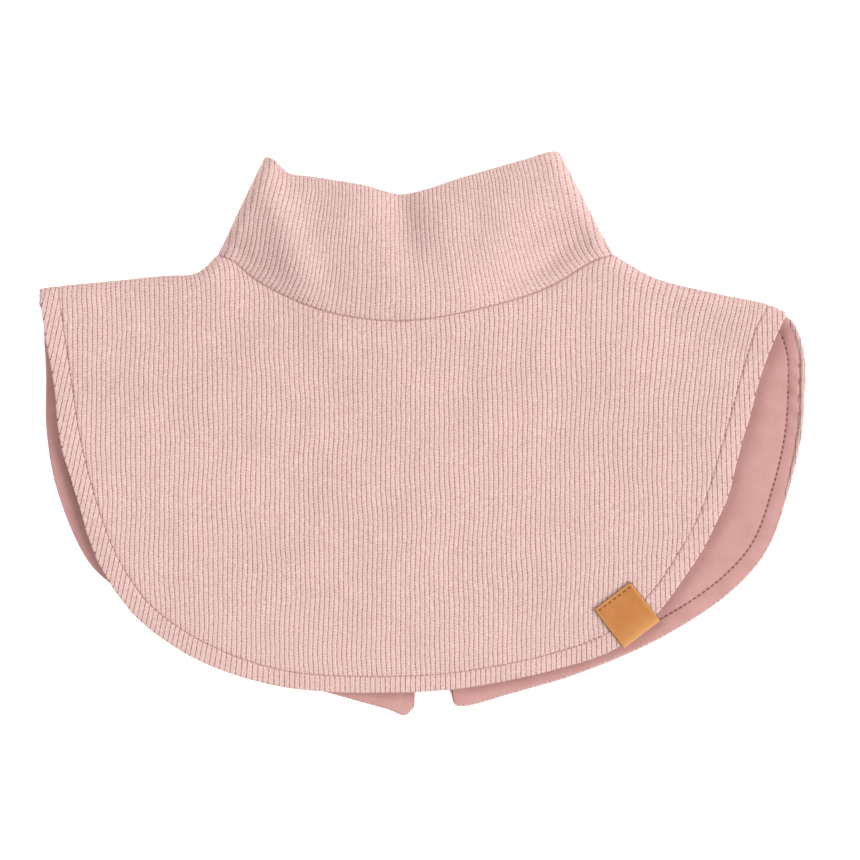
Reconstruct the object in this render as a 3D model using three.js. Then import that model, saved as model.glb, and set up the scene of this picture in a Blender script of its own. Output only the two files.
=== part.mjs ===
// A child's turtleneck dickey, lying flat on a table with its front up and its collar away from the viewer.
// +X is to the viewer's right, +Y runs from hem to collar, +Z is up from the table, and lengths are in mm.
// The yoke is rib knit with a jersey lining: one front panel and two back panels, sewn along the shoulder folds
// and round the collar. The collar is rib knit folded double, and its ends lap at the centre back on a closure.
import * as THREE from "three";
import { mergeVertices } from "three/addons/utils/BufferGeometryUtils.js";

// Cloth, leather and the gaps left between pieces
const KNIT = 1.35; // rib knit of the yoke
const LINING = 0.95; // jersey lining of the yoke
const PLY_GAP = 0.3; // between the rib knit and its lining
const COLLAR_WALL = 2.6; // the collar's rib knit, folded double
const LEATHER = 1.1; // the label's strap leather
const CLOSURE = 1.4; // the hook-and-loop closure between the lapped collar ends
const SEAM_GAP = 0.3; // between pieces that are sewn together
const LINING_SET = 1.0; // how far the lining's free edge stays inside the rib knit's
const WALL = KNIT + PLY_GAP + LINING;

// Sizes in the plane of the table
const NECK_WIDTH = 194.4; // neck seam, from fold to fold
const NECK_DROP = 32.5; // front neckline below the neck points
const BACK_NECK_DROP = 13; // back neckline below the neck points
const COLLAR_TOP_WIDTH = 144; // collar's top edge, from fold to fold
const COLLAR_RISE = 48; // from the neck points to the top edge's corners
const COLLAR_TOP_SHIFT = -2; // the top edge's middle, to the right of the neck's middle
const BACK_TOP_SET = 3; // how far the back of the top edge stays below the front of it
const LEFT_SHOULDER = { out: 89, drop: 17.5 }; // neck point to shoulder tip
const RIGHT_SHOULDER = { out: 86.4, drop: 28.9 };
const YOKE_HALF = 190; // the measure that the hem tables give their widths in
const FRONT_LENGTH = 217; // neck points to the front hem
const BACK_LENGTH = 230; // neck points to the back hem
const LAP = 20; // overlap of the collar's ends and of the back panels at the neck
const LAP_MIDDLE = 3; // the lap's middle, to the right of the neck's middle

// Sizes above the table, of the middle of the cloth
const HEM_LEVEL = 7.3; // front panel at its hem
const SHOULDER_LEVEL = 10.8; // front panel along the shoulders
const NECK_SWELL = 6.5; // how much higher the front panel is at the neck
const NECK_SWELL_SPAN = { across: 62, along: 50, below: 21 }; // its spread, and its middle below the neck points
const COLLAR_LOFT = 5; // how far the collar's front arches above that
const LOFT_TURN = 0.8; // share of a half wave that the arch goes through
const FOLD_DEPTH = 6; // how far in from a fold the two layers part
const CURL = { left: 0.8, right: 0.9, reach: 13 }; // upward curl of the back panels' free edges

// The overlap of the back panels
const LAP_RAMP = { start: 6, run: 14 }; // where the upper layer steps down beside the lower one's edge
const COLLAR_LIFT = COLLAR_WALL + CLOSURE + 2 * SEAM_GAP;
const PANEL_LIFT = WALL + 2.5 * SEAM_GAP;
const LIFT_FADE = 22; // how fast the one changes to the other below the neck seam

// The leather label, folded round the front hem
const LABEL = { width: 22, reach: 22.3, along: 0.709, turn: 8.4, gap: 0.35 };

// The closure between the collar's lapped ends
const CLOSURE_PAD = { width: 15, inset: 6, corner: 3 };

// Shapes as shares of the sizes above. Shoulders run from the neck point (0, 0) to the tip (1, 1).
const LEFT_SHOULDER_LINE = [
  { out: 0, drop: 0 },
  { out: 0.09, drop: 0.434 },
  { out: 0.15, drop: 0.589 },
  { out: 0.31, drop: 0.63 },
  { out: 0.61, drop: 0.783 },
  { out: 0.89, drop: 0.92 },
  { out: 1, drop: 1 },
];
const RIGHT_SHOULDER_LINE = [
  { out: 0, drop: 0 },
  { out: 0.095, drop: 0.163 },
  { out: 0.25, drop: 0.415 },
  { out: 0.633, drop: 0.7 },
  { out: 0.893, drop: 0.865 },
  { out: 1, drop: 1 },
];
// The front neckline, across in shares of half the neck's width, down in shares of its drop
const NECKLINE = [
  { across: -1, down: 0 },
  { across: -0.93, down: 0.09 },
  { across: -0.844, down: 0.31 },
  { across: -0.73, down: 0.52 },
  { across: -0.45, down: 0.86 },
  { across: -0.08, down: 1 },
  { across: 0.33, down: 0.815 },
  { across: 0.68, down: 0.49 },
  { across: 0.91, down: 0.09 },
  { across: 1, down: 0 },
];
// The collar's top edge, across in shares of half its width, up in shares of the collar's rise
const TOP_EDGE = [
  { across: -1, up: 1 },
  { across: -0.955, up: 0.97 },
  { across: -0.84, up: 0.82 },
  { across: -0.7, up: 0.79 },
  { across: -0.33, up: 0.7 },
  { across: -0.19, up: 0.64 },
  { across: -0.07, up: 0.605 },
  { across: 0.1, up: 0.65 },
  { across: 0.31, up: 0.755 },
  { across: 0.67, up: 0.915 },
  { across: 0.8, up: 0.97 },
  { across: 0.955, up: 1.06 },
  { across: 1, up: 1.045 },
];
// The front's free edge, from the left shoulder tip round to the right one
const FRONT_HEM = [
  { across: -0.948, down: 0.274 },
  { across: -0.922, down: 0.425 },
  { across: -0.883, down: 0.561 },
  { across: -0.834, down: 0.684 },
  { across: -0.777, down: 0.773 },
  { across: -0.717, down: 0.837 },
  { across: -0.57, down: 0.922 },
  { across: -0.343, down: 0.986 },
  { across: -0.042, down: 0.998 },
  { across: 0.129, down: 0.987 },
  { across: 0.376, down: 0.943 },
  { across: 0.537, down: 0.89 },
  { across: 0.662, down: 0.787 },
  { across: 0.733, down: 0.694 },
  { across: 0.793, down: 0.594 },
  { across: 0.85, down: 0.434 },
  { across: 0.914, down: 0.235 },
  { across: 0.937, down: 0.175 },
];
// The back panels' free edges, from each shoulder tip to the corner at the centre back
const LEFT_BACK_HEM = [
  { across: -0.97, down: 0.25 },
  { across: -0.969, down: 0.378 },
  { across: -0.941, down: 0.509 },
  { across: -0.858, down: 0.663 },
  { across: -0.774, down: 0.726 },
  { across: -0.653, down: 0.8 },
  { across: -0.495, down: 0.87 },
  { across: -0.326, down: 0.922 },
  { across: -0.185, down: 0.956 },
  { across: -0.068, down: 0.983 },
  { across: -0.026, down: 0.995 },
  { across: -0.004, down: 0.978 },
];
const RIGHT_BACK_HEM = [
  { across: 0.992, down: 0.143 },
  { across: 1.019, down: 0.206 },
  { across: 1.022, down: 0.283 },
  { across: 1.014, down: 0.387 },
  { across: 0.982, down: 0.505 },
  { across: 0.925, down: 0.635 },
  { across: 0.834, down: 0.723 },
  { across: 0.658, down: 0.821 },
  { across: 0.446, down: 0.899 },
  { across: 0.238, down: 0.951 },
  { across: 0.129, down: 0.975 },
  { across: 0.104, down: 0.972 },
  { across: 0.094, down: 0.944 },
];
// Soft dents (below 0) and ridges (above 0) of the upper layer. Places are shares of the neck's width across from
// its middle and of the front's length down; long and wide are shares of that length, height of the crease height.
const CREASE_HEIGHT = 2.4;
const CREASES = [
  { across: -0.315, down: -0.03, turn: -58, long: 0.136, wide: 0.036, height: 0.9 }, // off the collar's left corner
  { across: -0.45, down: 0, turn: -30, long: 0.077, wide: 0.036, height: -0.75 }, // hollow beside it
  { across: 0.03, down: -0.08, turn: -65, long: 0.086, wide: 0.032, height: -1.1 }, // from the top edge's dip
  { across: -0.07, down: -0.09, turn: -75, long: 0.082, wide: 0.027, height: 0.45 },
  { across: 0.38, down: -0.02, turn: 40, long: 0.1, wide: 0.036, height: -0.9 }, // hollow above the seam's right
  { across: 0.73, down: 0.19, turn: -20, long: 0.155, wide: 0.073, height: -0.6 }, // yoke by the right shoulder
  { across: -0.8, down: 0.24, turn: 75, long: 0.205, wide: 0.064, height: -0.33 },
  { across: 0.1, down: 0.55, turn: 10, long: 0.318, wide: 0.155, height: 0.38 },
];

// How finely each piece is divided
const STEPS = { shoulder: 7, neck: 22, collar: 8, curve: 28 };
const LABEL_STEPS = { bend: 6, leaf: 5, across: 3 };
const BACK_STATIONS = [0, 0.007, 0.027, 0.06, 0.105, 0.165, 0.24, 0.335, 0.44, 0.55, 0.66, 0.77, 0.87, 0.945, 1];
const DOWN_STATIONS = [0, 0.004, 0.016, 0.036, 0.09, 0.18, 0.3, 0.43, 0.56, 0.69, 0.81, 0.92, 1];
const HEM_CORNER = { left: 0.2, right: 0.21 }; // where the hem turns from the side to the bottom of the patch
const RIM_ROUND = 0.6; // how far a free edge is rounded out, as a share of half its thickness
const SLOPE_STEP = 0.5; // step for measuring the slope of a surface

const smooth = (share) => {
  const t = Math.min(Math.max(share, 0), 1);
  return t * t * (3 - 2 * t);
};
const bell = (distance, spread) => Math.exp(-((distance / spread) ** 2));
const flat = (x, y) => new THREE.Vector2(x, y);

// A smooth curve through the given points, with its points counted by length along it.
function curveThrough(points) {
  const curve = new THREE.CatmullRomCurve3(points.map((p) => new THREE.Vector3(p.x, p.y, 0)));
  return (share) => {
    const p = curve.getPointAt(Math.min(Math.max(share, 0), 1));
    return flat(p.x, p.y);
  };
}

// The stretch of a curve from one share of its length to another.
const stretch = (curve, from, to) => (share) => curve(from + (to - from) * share);

const sampled = (curve, steps) => Array.from({ length: steps + 1 }, (_, k) => curve(k / steps));

// Outlines in the plane of the table, measured from the middle between the two neck points
const neckHalf = NECK_WIDTH / 2;
const leftNeck = flat(-neckHalf, 0);
const rightNeck = flat(neckHalf, 0);

const leftShoulder = curveThrough(
  LEFT_SHOULDER_LINE.map((row) => flat(-neckHalf - row.out * LEFT_SHOULDER.out, -row.drop * LEFT_SHOULDER.drop)),
);
const rightShoulder = curveThrough(
  RIGHT_SHOULDER_LINE.map((row) => flat(neckHalf + row.out * RIGHT_SHOULDER.out, -row.drop * RIGHT_SHOULDER.drop)),
);
const frontNeck = curveThrough(NECKLINE.map((row) => flat(row.across * neckHalf, -row.down * NECK_DROP)));
const topEdge = curveThrough(
  TOP_EDGE.map((row) => flat(COLLAR_TOP_SHIFT + (row.across * COLLAR_TOP_WIDTH) / 2, row.up * COLLAR_RISE)),
);

const hemPoints = (rows, length) => rows.map((row) => flat(row.across * YOKE_HALF, -row.down * length));
const frontHem = curveThrough([leftShoulder(1), ...hemPoints(FRONT_HEM, FRONT_LENGTH), rightShoulder(1)]);
const leftBackHem = curveThrough([leftShoulder(1), ...hemPoints(LEFT_BACK_HEM, BACK_LENGTH)]);
const rightBackHem = curveThrough([rightShoulder(1), ...hemPoints(RIGHT_BACK_HEM, BACK_LENGTH)]);

// The back neckline is a shallow arc between the neck points.
const backNeckDown = (x) => BACK_NECK_DROP * (1 - (x / neckHalf) ** 2);
const lapEnd = { left: LAP_MIDDLE + LAP / 2, right: LAP_MIDDLE - LAP / 2 };

function backNeck(side) {
  const start = side === "left" ? -neckHalf : neckHalf;
  return (share) => {
    const x = start + (lapEnd[side] - start) * share;
    return flat(x, -backNeckDown(x));
  };
}
const backNeckLine = { left: backNeck("left"), right: backNeck("right") };

// The back of the collar's top edge lies just below the front of it.
const topEdgePoints = sampled(topEdge, 80);
function topEdgeHeight(x) {
  const next = topEdgePoints.findIndex((p, k) => k > 0 && p.x >= x);
  const b = topEdgePoints[next < 0 ? topEdgePoints.length - 1 : next];
  const a = topEdgePoints[next < 0 ? topEdgePoints.length - 2 : next - 1];
  return a.y + ((b.y - a.y) * (x - a.x)) / (b.x - a.x);
}
function backTop(side) {
  const corner = topEdge(side === "left" ? 0 : 1);
  return (share) => {
    const x = corner.x + (lapEnd[side] - corner.x) * share;
    return flat(x, topEdgeHeight(x) - BACK_TOP_SET * smooth(4 * share));
  };
}
const backTopLine = { left: backTop("left"), right: backTop("right") };

// The collar's side folds run straight from the neck points to the top edge's corners.
const collarSides = [[leftNeck, topEdge(0)], [rightNeck, topEdge(1)]].map(([foot, head]) => (share) => {
  return foot.clone().lerp(head, share);
});

// The folds that the garment lies on: both shoulders and both sides of the collar.
const folds = [leftShoulder, rightShoulder, ...collarSides].map((curve) => sampled(curve, STEPS.curve));

// The distance from a point to a line of straight stretches.
function distanceTo(line, p) {
  let nearest = Infinity;
  for (let k = 1; k < line.length; k++) {
    const along = line[k].clone().sub(line[k - 1]);
    const from = p.clone().sub(line[k - 1]);
    const share = Math.min(Math.max(from.dot(along) / along.lengthSq(), 0), 1);
    nearest = Math.min(nearest, from.sub(along.multiplyScalar(share)).length());
  }
  return nearest;
}

// 0 on a fold and 1 where the two layers have parted, on a quarter of an ellipse.
function parted(p) {
  const near = Math.min(...folds.map((line) => distanceTo(line, p)));
  const share = Math.min(near / FOLD_DEPTH, 1);
  return Math.sqrt(1 - (1 - share) ** 2);
}

function creaseHeight(p) {
  return CREASES.reduce((sum, crease) => {
    const turn = THREE.MathUtils.degToRad(crease.turn);
    const away = p.clone().sub(flat(crease.across * NECK_WIDTH, -crease.down * FRONT_LENGTH));
    const along = away.x * Math.cos(turn) + away.y * Math.sin(turn);
    const across = away.y * Math.cos(turn) - away.x * Math.sin(turn);
    const fade = bell(along, crease.long * FRONT_LENGTH) * bell(across, crease.wide * FRONT_LENGTH);
    return sum + crease.height * CREASE_HEIGHT * fade;
  }, 0);
}

// Levels of the middle of the cloth where the layers lie apart
const tableLevel = WALL / 2;
function upperLevel(p, loft = 0) {
  const fall = smooth(-p.y / FRONT_LENGTH);
  const near = bell(p.x, NECK_SWELL_SPAN.across) * bell(p.y + NECK_SWELL_SPAN.below, NECK_SWELL_SPAN.along);
  const swell = NECK_SWELL * near;
  return HEM_LEVEL + (SHOULDER_LEVEL - HEM_LEVEL) * (1 - fall) + swell + creaseHeight(p) + loft;
}

// Heights of the middle of the cloth on the upper and the lower layer, with the layers joined along the folds
function upperHeight(p, loft = 0) {
  const top = upperLevel(p, loft);
  const middle = (top + tableLevel) / 2;
  return middle + (top - middle) * parted(p);
}
function lowerHeight(p, loft = 0, raised = 0) {
  const middle = (upperLevel(p, loft) + tableLevel) / 2;
  return middle - (middle - tableLevel - raised) * parted(p);
}

const collarLoft = (up) => COLLAR_LOFT * Math.sin(Math.PI * LOFT_TURN * up);

// The right back panel and the right collar end lie on the left ones, and step down beside their edge.
function lapLift(x, edge, height) {
  return height * smooth((edge + LAP_RAMP.start + LAP_RAMP.run - x) / LAP_RAMP.run);
}

// A four-sided patch of flat points between its border lines.
function patch(top, bottom, left, right, across, down) {
  const corner = [top[0], top.at(-1), bottom[0], bottom.at(-1)];
  return across.map((u, i) =>
    down.map((v, j) => {
      const between = top[i].clone().multiplyScalar(1 - v).addScaledVector(bottom[i], v);
      between.addScaledVector(left[j], 1 - u).addScaledVector(right[j], u);
      between.addScaledVector(corner[0], -(1 - u) * (1 - v)).addScaledVector(corner[1], -u * (1 - v));
      return between.addScaledVector(corner[2], -(1 - u) * v).addScaledVector(corner[3], -u * v);
    }),
  );
}

// Each point's share of the length of a line of points.
function lengthShares(points) {
  const sums = [0];
  for (let k = 1; k < points.length; k++) sums.push(sums[k - 1] + points[k].distanceTo(points[k - 1]));
  return sums.map((sum) => sum / sums.at(-1));
}

const raise = (rows, height) => rows.map((column) => column.map((p) => new THREE.Vector3(p.x, p.y, height(p))));

// Stations close together at the folds, where the cloth turns over
const neckStations = Array.from({ length: STEPS.neck + 1 }, (_, k) => (1 - Math.cos((Math.PI * k) / STEPS.neck)) / 2);
const shoulderStations = Array.from({ length: STEPS.shoulder + 1 }, (_, k) => k / STEPS.shoulder);

// Unit normals of a grid of points. way is 1 or -1 and turns them to the garment's outside.
function gridNormals(grid, way) {
  const last = [grid.length - 1, grid[0].length - 1];
  return grid.map((column, i) =>
    column.map((_, j) => {
      const along = grid[Math.min(i + 1, last[0])][j].clone().sub(grid[Math.max(i - 1, 0)][j]);
      const down = column[Math.min(j + 1, last[1])].clone().sub(column[Math.max(j - 1, 0)]);
      return down.cross(along).normalize().multiplyScalar(way);
    }),
  );
}

// A sheet of cloth: its grid of middle points, outward normals, and how each border ends, "seam" or "free".
function sheet(grid, way, ends) {
  return { grid, way, ends, normals: gridNormals(grid, way) };
}

// Where sheets are sewn together they share their border points, and here also their normals, so that
// their end faces stay parallel.
function sew(...joins) {
  joins.forEach((places) => {
    const sum = new THREE.Vector3();
    places.forEach(([piece, i, j]) => sum.add(piece.normals[i][j]));
    sum.normalize();
    places.forEach(([piece, i, j]) => piece.normals[i][j].copy(sum));
  });
}

// The solid between two offsets of a sheet. Seam borders stop half a seam gap short, free borders are drawn
// in by set and rounded.
function clothSolid(piece, outer, inner, set = 0) {
  const { grid, normals, ends, way } = piece;
  const [lastI, lastJ] = [grid.length - 1, grid[0].length - 1];
  const outward = (i, j, nextI, nextJ) => {
    const away = grid[i][j].clone().sub(grid[nextI][nextJ]);
    return away.addScaledVector(normals[i][j], -away.dot(normals[i][j])).normalize();
  };
  const borders = [
    { kind: ends.top, on: (i, j) => j === 0, out: (i, j) => outward(i, j, i, 1) },
    { kind: ends.bottom, on: (i, j) => j === lastJ, out: (i, j) => outward(i, j, i, lastJ - 1) },
    { kind: ends.left, on: (i) => i === 0, out: (i, j) => outward(i, j, 1, j) },
    { kind: ends.right, on: (i) => i === lastI, out: (i, j) => outward(i, j, lastI - 1, j) },
  ];
  const half = (outer - inner) / 2;
  const points = [];
  const add = (p) => points.push(p) - 1;
  const faces = [];
  const quad = (a, b, c, d) => faces.push(...(way > 0 ? [a, b, c, a, c, d] : [a, c, b, a, d, c]));

  const layers = grid.map((column, i) =>
    column.map((middle, j) => {
      const p = middle.clone();
      const rim = new THREE.Vector3();
      borders.filter((border) => border.on(i, j)).forEach((border) => {
        const out = border.out(i, j);
        p.addScaledVector(out, border.kind === "seam" ? -SEAM_GAP / 2 : -set);
        if (border.kind !== "seam") rim.addScaledVector(out, half * RIM_ROUND);
      });
      const normal = normals[i][j];
      const made = {
        outer: add(p.clone().addScaledVector(normal, outer)),
        inner: add(p.clone().addScaledVector(normal, inner)),
      };
      if (borders.some((border) => border.on(i, j)))
        made.rim = add(p.clone().addScaledVector(normal, (outer + inner) / 2).add(rim));
      return made;
    }),
  );
  for (let i = 0; i < lastI; i++)
    for (let j = 0; j < lastJ; j++) {
      const cell = [layers[i][j], layers[i][j + 1], layers[i + 1][j + 1], layers[i + 1][j]];
      quad(...cell.map((corner) => corner.outer));
      const [a, b, c, d] = cell.map((corner) => corner.inner);
      quad(a, d, c, b);
    }
  const loop = [
    ...Array.from({ length: lastI }, (_, k) => layers[k][0]),
    ...Array.from({ length: lastJ }, (_, k) => layers[lastI][k]),
    ...Array.from({ length: lastI }, (_, k) => layers[lastI - k][lastJ]),
    ...Array.from({ length: lastJ }, (_, k) => layers[0][lastJ - k]),
  ];
  loop.forEach((a, k) => {
    const b = loop[(k + 1) % loop.length];
    quad(a.outer, b.outer, b.rim, a.rim);
    quad(a.rim, b.rim, b.inner, a.inner);
  });
  const geometry = new THREE.BufferGeometry();
  geometry.setAttribute("position", new THREE.Float32BufferAttribute(points.flatMap((p) => [p.x, p.y, p.z]), 3));
  geometry.setIndex(faces);
  return geometry;
}

// The front panel's middle surface
function frontSheet() {
  const top = [
    ...shoulderStations.map((s) => leftShoulder(1 - s)),
    ...neckStations.slice(1, -1).map((s) => frontNeck(s)),
    ...shoulderStations.map((s) => rightShoulder(s)),
  ];
  const across = lengthShares(top);
  const side = { left: stretch(frontHem, 0, HEM_CORNER.left), right: stretch(frontHem, 1, 1 - HEM_CORNER.right) };
  const bottom = across.map(stretch(frontHem, HEM_CORNER.left, 1 - HEM_CORNER.right));
  const flatGrid = patch(
    top, bottom, DOWN_STATIONS.map(side.left), DOWN_STATIONS.map(side.right), across, DOWN_STATIONS,
  );
  return sheet(raise(flatGrid, upperHeight), 1, { top: "seam", bottom: "free", left: "free", right: "free" });
}

// A back panel's middle surface, from its shoulder tip to its edge at the centre back
function backSheet(side) {
  const isLeft = side === "left";
  const [shoulder, hem] = isLeft ? [leftShoulder, leftBackHem] : [rightShoulder, rightBackHem];
  const top = [
    ...shoulderStations.map((s) => shoulder(1 - s)),
    ...BACK_STATIONS.slice(1).map((s) => backNeckLine[side](s)),
  ];
  const across = lengthShares(top);
  const corner = HEM_CORNER[side] * 1.5;
  const centre = (share) => top.at(-1).clone().lerp(hem(1), share);
  const flatGrid = patch(
    top, across.map(stretch(hem, corner, 1)), DOWN_STATIONS.map(stretch(hem, 0, corner)),
    DOWN_STATIONS.map(centre), across, DOWN_STATIONS,
  );
  const hemLine = sampled(hem, STEPS.curve * 2);
  const lowerEdge = (y) => {
    const [start, end] = [backNeckLine.left(1), leftBackHem(1)];
    return start.x + ((end.x - start.x) * (y - start.y)) / (end.y - start.y);
  };
  const height = (p) => {
    const below = Math.max(0, -BACK_NECK_DROP - p.y);
    const lift = PANEL_LIFT + (COLLAR_LIFT - PANEL_LIFT) * Math.exp(-below / LIFT_FADE);
    const curl = CURL[side] * (1 - smooth(distanceTo(hemLine, p) / CURL.reach));
    return lowerHeight(p, 0, curl + (isLeft ? 0 : lapLift(p.x, lowerEdge(p.y), lift)));
  };
  const ends = { top: "seam", bottom: "free", left: "free", right: "free" };
  return sheet(raise(flatGrid, height), isLeft ? -1 : 1, ends);
}

// The collar's middle surface: round from its left end, under the lap, by the left fold, the front and the
// right fold to its right end
function collarSheet() {
  const upright = (foot, head, height) =>
    Array.from({ length: STEPS.collar + 1 }, (_, k) => {
      const up = k / STEPS.collar;
      const p = foot.clone().lerp(head, up);
      return new THREE.Vector3(p.x, p.y, height(p, collarLoft(up)));
    });
  const back = (side, raised) => {
    const height = (p, loft) => lowerHeight(p, loft, raised(p));
    return BACK_STATIONS.map((s) => upright(backNeckLine[side](s), backTopLine[side](s), height));
  };
  const front = neckStations.map((s) => upright(frontNeck(s), topEdge(s), upperHeight));
  const columns = [
    ...back("left", () => 0).reverse().slice(0, -1),
    ...front,
    ...back("right", (p) => lapLift(p.x, lapEnd.left, COLLAR_LIFT)).slice(1),
  ];
  return sheet(columns, -1, { top: "seam", bottom: "free", left: "free", right: "free" });
}

// A strip of leather that grips the front hem: one leaf on the rib knit, a fold round the edge, one leaf below
function labelSheet() {
  const foot = frontHem(LABEL.along);
  const next = frontHem(LABEL.along + 0.002);
  const across = next.sub(foot).normalize().rotateAround(flat(0, 0), -THREE.MathUtils.degToRad(LABEL.turn));
  const inward = flat(-across.y, across.x);
  const stand = WALL / 2 + LABEL.gap + LEATHER / 2;
  const surface = (p) => new THREE.Vector3(p.x, p.y, upperHeight(p));
  const normalAt = (p) => {
    const dx = surface(p.clone().add(flat(SLOPE_STEP, 0))).sub(surface(p));
    const dy = surface(p.clone().add(flat(0, SLOPE_STEP))).sub(surface(p));
    return dx.cross(dy).normalize();
  };
  const leaf = (start, way) =>
    Array.from({ length: LABEL_STEPS.leaf }, (_, k) => {
      const p = start.clone().addScaledVector(inward, (LABEL.reach * (LABEL_STEPS.leaf - k)) / LABEL_STEPS.leaf);
      return surface(p).addScaledVector(normalAt(p), way * stand);
    });
  const columns = Array.from({ length: LABEL_STEPS.across + 1 }, (_, k) => {
    const start = foot.clone().addScaledVector(across, LABEL.width * (k / LABEL_STEPS.across - 0.5));
    const normal = normalAt(start);
    const out = new THREE.Vector3(-inward.x, -inward.y, 0);
    const bend = Array.from({ length: LABEL_STEPS.bend + 1 }, (_, step) => {
      const angle = (Math.PI * step) / LABEL_STEPS.bend;
      const turned = surface(start).addScaledVector(normal, stand * Math.cos(angle));
      return turned.addScaledVector(out, stand * Math.sin(angle));
    });
    return [...leaf(start, 1), ...bend, ...leaf(start, -1).reverse()];
  });
  return sheet(columns, 1, { top: "free", bottom: "free", left: "free", right: "free" });
}

// The closure: one flat pad with round corners, on the lower collar end and under the upper one
function closureGeometry() {
  const middle = flat(LAP_MIDDLE, 0);
  const low = -backNeckDown(middle.x) + CLOSURE_PAD.inset;
  const high = topEdgeHeight(middle.x) - BACK_TOP_SET - CLOSURE_PAD.inset;
  const [w, h, r] = [CLOSURE_PAD.width / 2, (high - low) / 2, CLOSURE_PAD.corner];
  const outline = new THREE.Shape();
  outline.absarc(w - r, h - r, r, 0, Math.PI / 2);
  outline.absarc(-w + r, h - r, r, Math.PI / 2, Math.PI);
  outline.absarc(-w + r, -h + r, r, Math.PI, 1.5 * Math.PI);
  outline.absarc(w - r, -h + r, r, 1.5 * Math.PI, 2 * Math.PI);
  const geometry = new THREE.ExtrudeGeometry(outline, { depth: CLOSURE, bevelEnabled: false, curveSegments: 4 });
  geometry.translate(middle.x, (low + high) / 2, tableLevel + COLLAR_WALL / 2 + SEAM_GAP);
  geometry.deleteAttribute("normal");
  geometry.deleteAttribute("uv");
  return mergeVertices(geometry, 1e-4);
}

// Sew the sheets: shoulders, front neckline and back necklines
const front = frontSheet();
const back = { left: backSheet("left"), right: backSheet("right") };
const collar = collarSheet();
const label = labelSheet();
{
  const [s, n, b] = [STEPS.shoulder, STEPS.neck, BACK_STATIONS.length - 1];
  const joins = [];
  for (let k = 0; k < s; k++) {
    joins.push([[front, k, 0], [back.left, k, 0]]);
    joins.push([[front, 2 * s + n - k, 0], [back.right, k, 0]]);
  }
  for (let k = 1; k < n; k++) joins.push([[front, s + k, 0], [collar, b + k, 0]]);
  for (let k = 1; k <= b; k++) {
    joins.push([[back.left, s + k, 0], [collar, b - k, 0]]);
    joins.push([[back.right, s + k, 0], [collar, b + n + k, 0]]);
  }
  joins.push([[front, s, 0], [back.left, s, 0], [collar, b, 0]]);
  joins.push([[front, s + n, 0], [back.right, s, 0], [collar, b + n, 0]]);
  for (let k = 1; k <= STEPS.collar; k++) joins.push([[collar, b, k]], [[collar, b + n, k]]);
  sew(...joins);
}

const ribKnit = { color: 0xe2beb8, roughness: 0.92, metalness: 0 };
const jersey = { color: 0xd1a19d, roughness: 0.95, metalness: 0 };
const leather = { color: 0xca8b4e, roughness: 0.55, metalness: 0 };
const hookAndLoop = { color: 0xd9b3ad, roughness: 0.97, metalness: 0 };

const dickey = new THREE.Group();
function addPiece(name, geometry, finish) {
  const mesh = new THREE.Mesh(geometry, new THREE.MeshStandardMaterial(finish));
  mesh.name = name;
  dickey.add(mesh);
}
const outerCloth = [WALL / 2, WALL / 2 - KNIT];
const innerCloth = [-WALL / 2 + LINING, -WALL / 2];
addPiece("collar", clothSolid(collar, COLLAR_WALL / 2, -COLLAR_WALL / 2), ribKnit);
addPiece("front_panel", clothSolid(front, ...outerCloth), ribKnit);
addPiece("front_lining", clothSolid(front, ...innerCloth, LINING_SET), jersey);
for (const side of ["left", "right"]) {
  addPiece(`back_panel_${side}`, clothSolid(back[side], ...outerCloth), ribKnit);
  addPiece(`back_lining_${side}`, clothSolid(back[side], ...innerCloth, LINING_SET), jersey);
}
addPiece("leather_label", clothSolid(label, LEATHER / 2, -LEATHER / 2), leather);
addPiece("back_closure", closureGeometry(), hookAndLoop);

// The origin is on the table, under the middle of the whole piece.
const bounds = new THREE.Box3().setFromObject(dickey);
const middle = bounds.getCenter(new THREE.Vector3());
dickey.position.set(-middle.x, -middle.y, -bounds.min.z);

export default dickey;
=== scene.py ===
"""Looks of a child's turtleneck dickey that lies on its back, front up, collar away from the viewer.

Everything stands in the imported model's frame: +X to the viewer's right, +Y from hem to collar, +Z up.
Shapes are worked out in mm from the middle between the two neck points, and put into metres at the end.
"""

import logging
import math
from dataclasses import dataclass, field
from enum import Enum
from functools import cached_property
from typing import Any, Callable, Sequence

import bpy
import numpy as np
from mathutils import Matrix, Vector
from numpy.typing import NDArray


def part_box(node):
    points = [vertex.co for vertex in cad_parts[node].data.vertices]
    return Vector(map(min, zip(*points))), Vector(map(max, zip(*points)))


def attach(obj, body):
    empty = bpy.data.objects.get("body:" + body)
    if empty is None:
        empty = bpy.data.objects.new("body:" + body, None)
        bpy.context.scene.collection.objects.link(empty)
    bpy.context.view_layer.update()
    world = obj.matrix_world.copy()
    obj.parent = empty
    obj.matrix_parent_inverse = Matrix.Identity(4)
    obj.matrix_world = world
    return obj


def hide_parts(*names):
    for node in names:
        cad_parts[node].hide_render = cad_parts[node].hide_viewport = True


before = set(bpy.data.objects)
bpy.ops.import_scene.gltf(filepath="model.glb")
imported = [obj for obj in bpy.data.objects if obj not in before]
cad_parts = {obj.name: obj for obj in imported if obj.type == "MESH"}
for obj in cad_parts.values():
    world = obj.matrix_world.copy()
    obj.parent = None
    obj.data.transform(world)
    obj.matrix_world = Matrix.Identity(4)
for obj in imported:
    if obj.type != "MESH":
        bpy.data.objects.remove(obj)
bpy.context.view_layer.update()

Array = NDArray[np.float64]
Height = Callable[[Array], Array]

log = logging.getLogger("dickey")
NECK_MIDDLE = np.array([-4.0334, 88.8726, 0.0])  # the middle between the neck points, in the model's frame
MM = 0.001


class Side(Enum):
    """The wearer's side as the viewer sees it, with its direction along X."""

    LEFT = -1
    RIGHT = 1


def smooth(share: Array) -> Array:
    """Eases a share from 0 to 1."""
    t = np.clip(share, 0.0, 1.0)
    return t * t * (3 - 2 * t)


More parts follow.
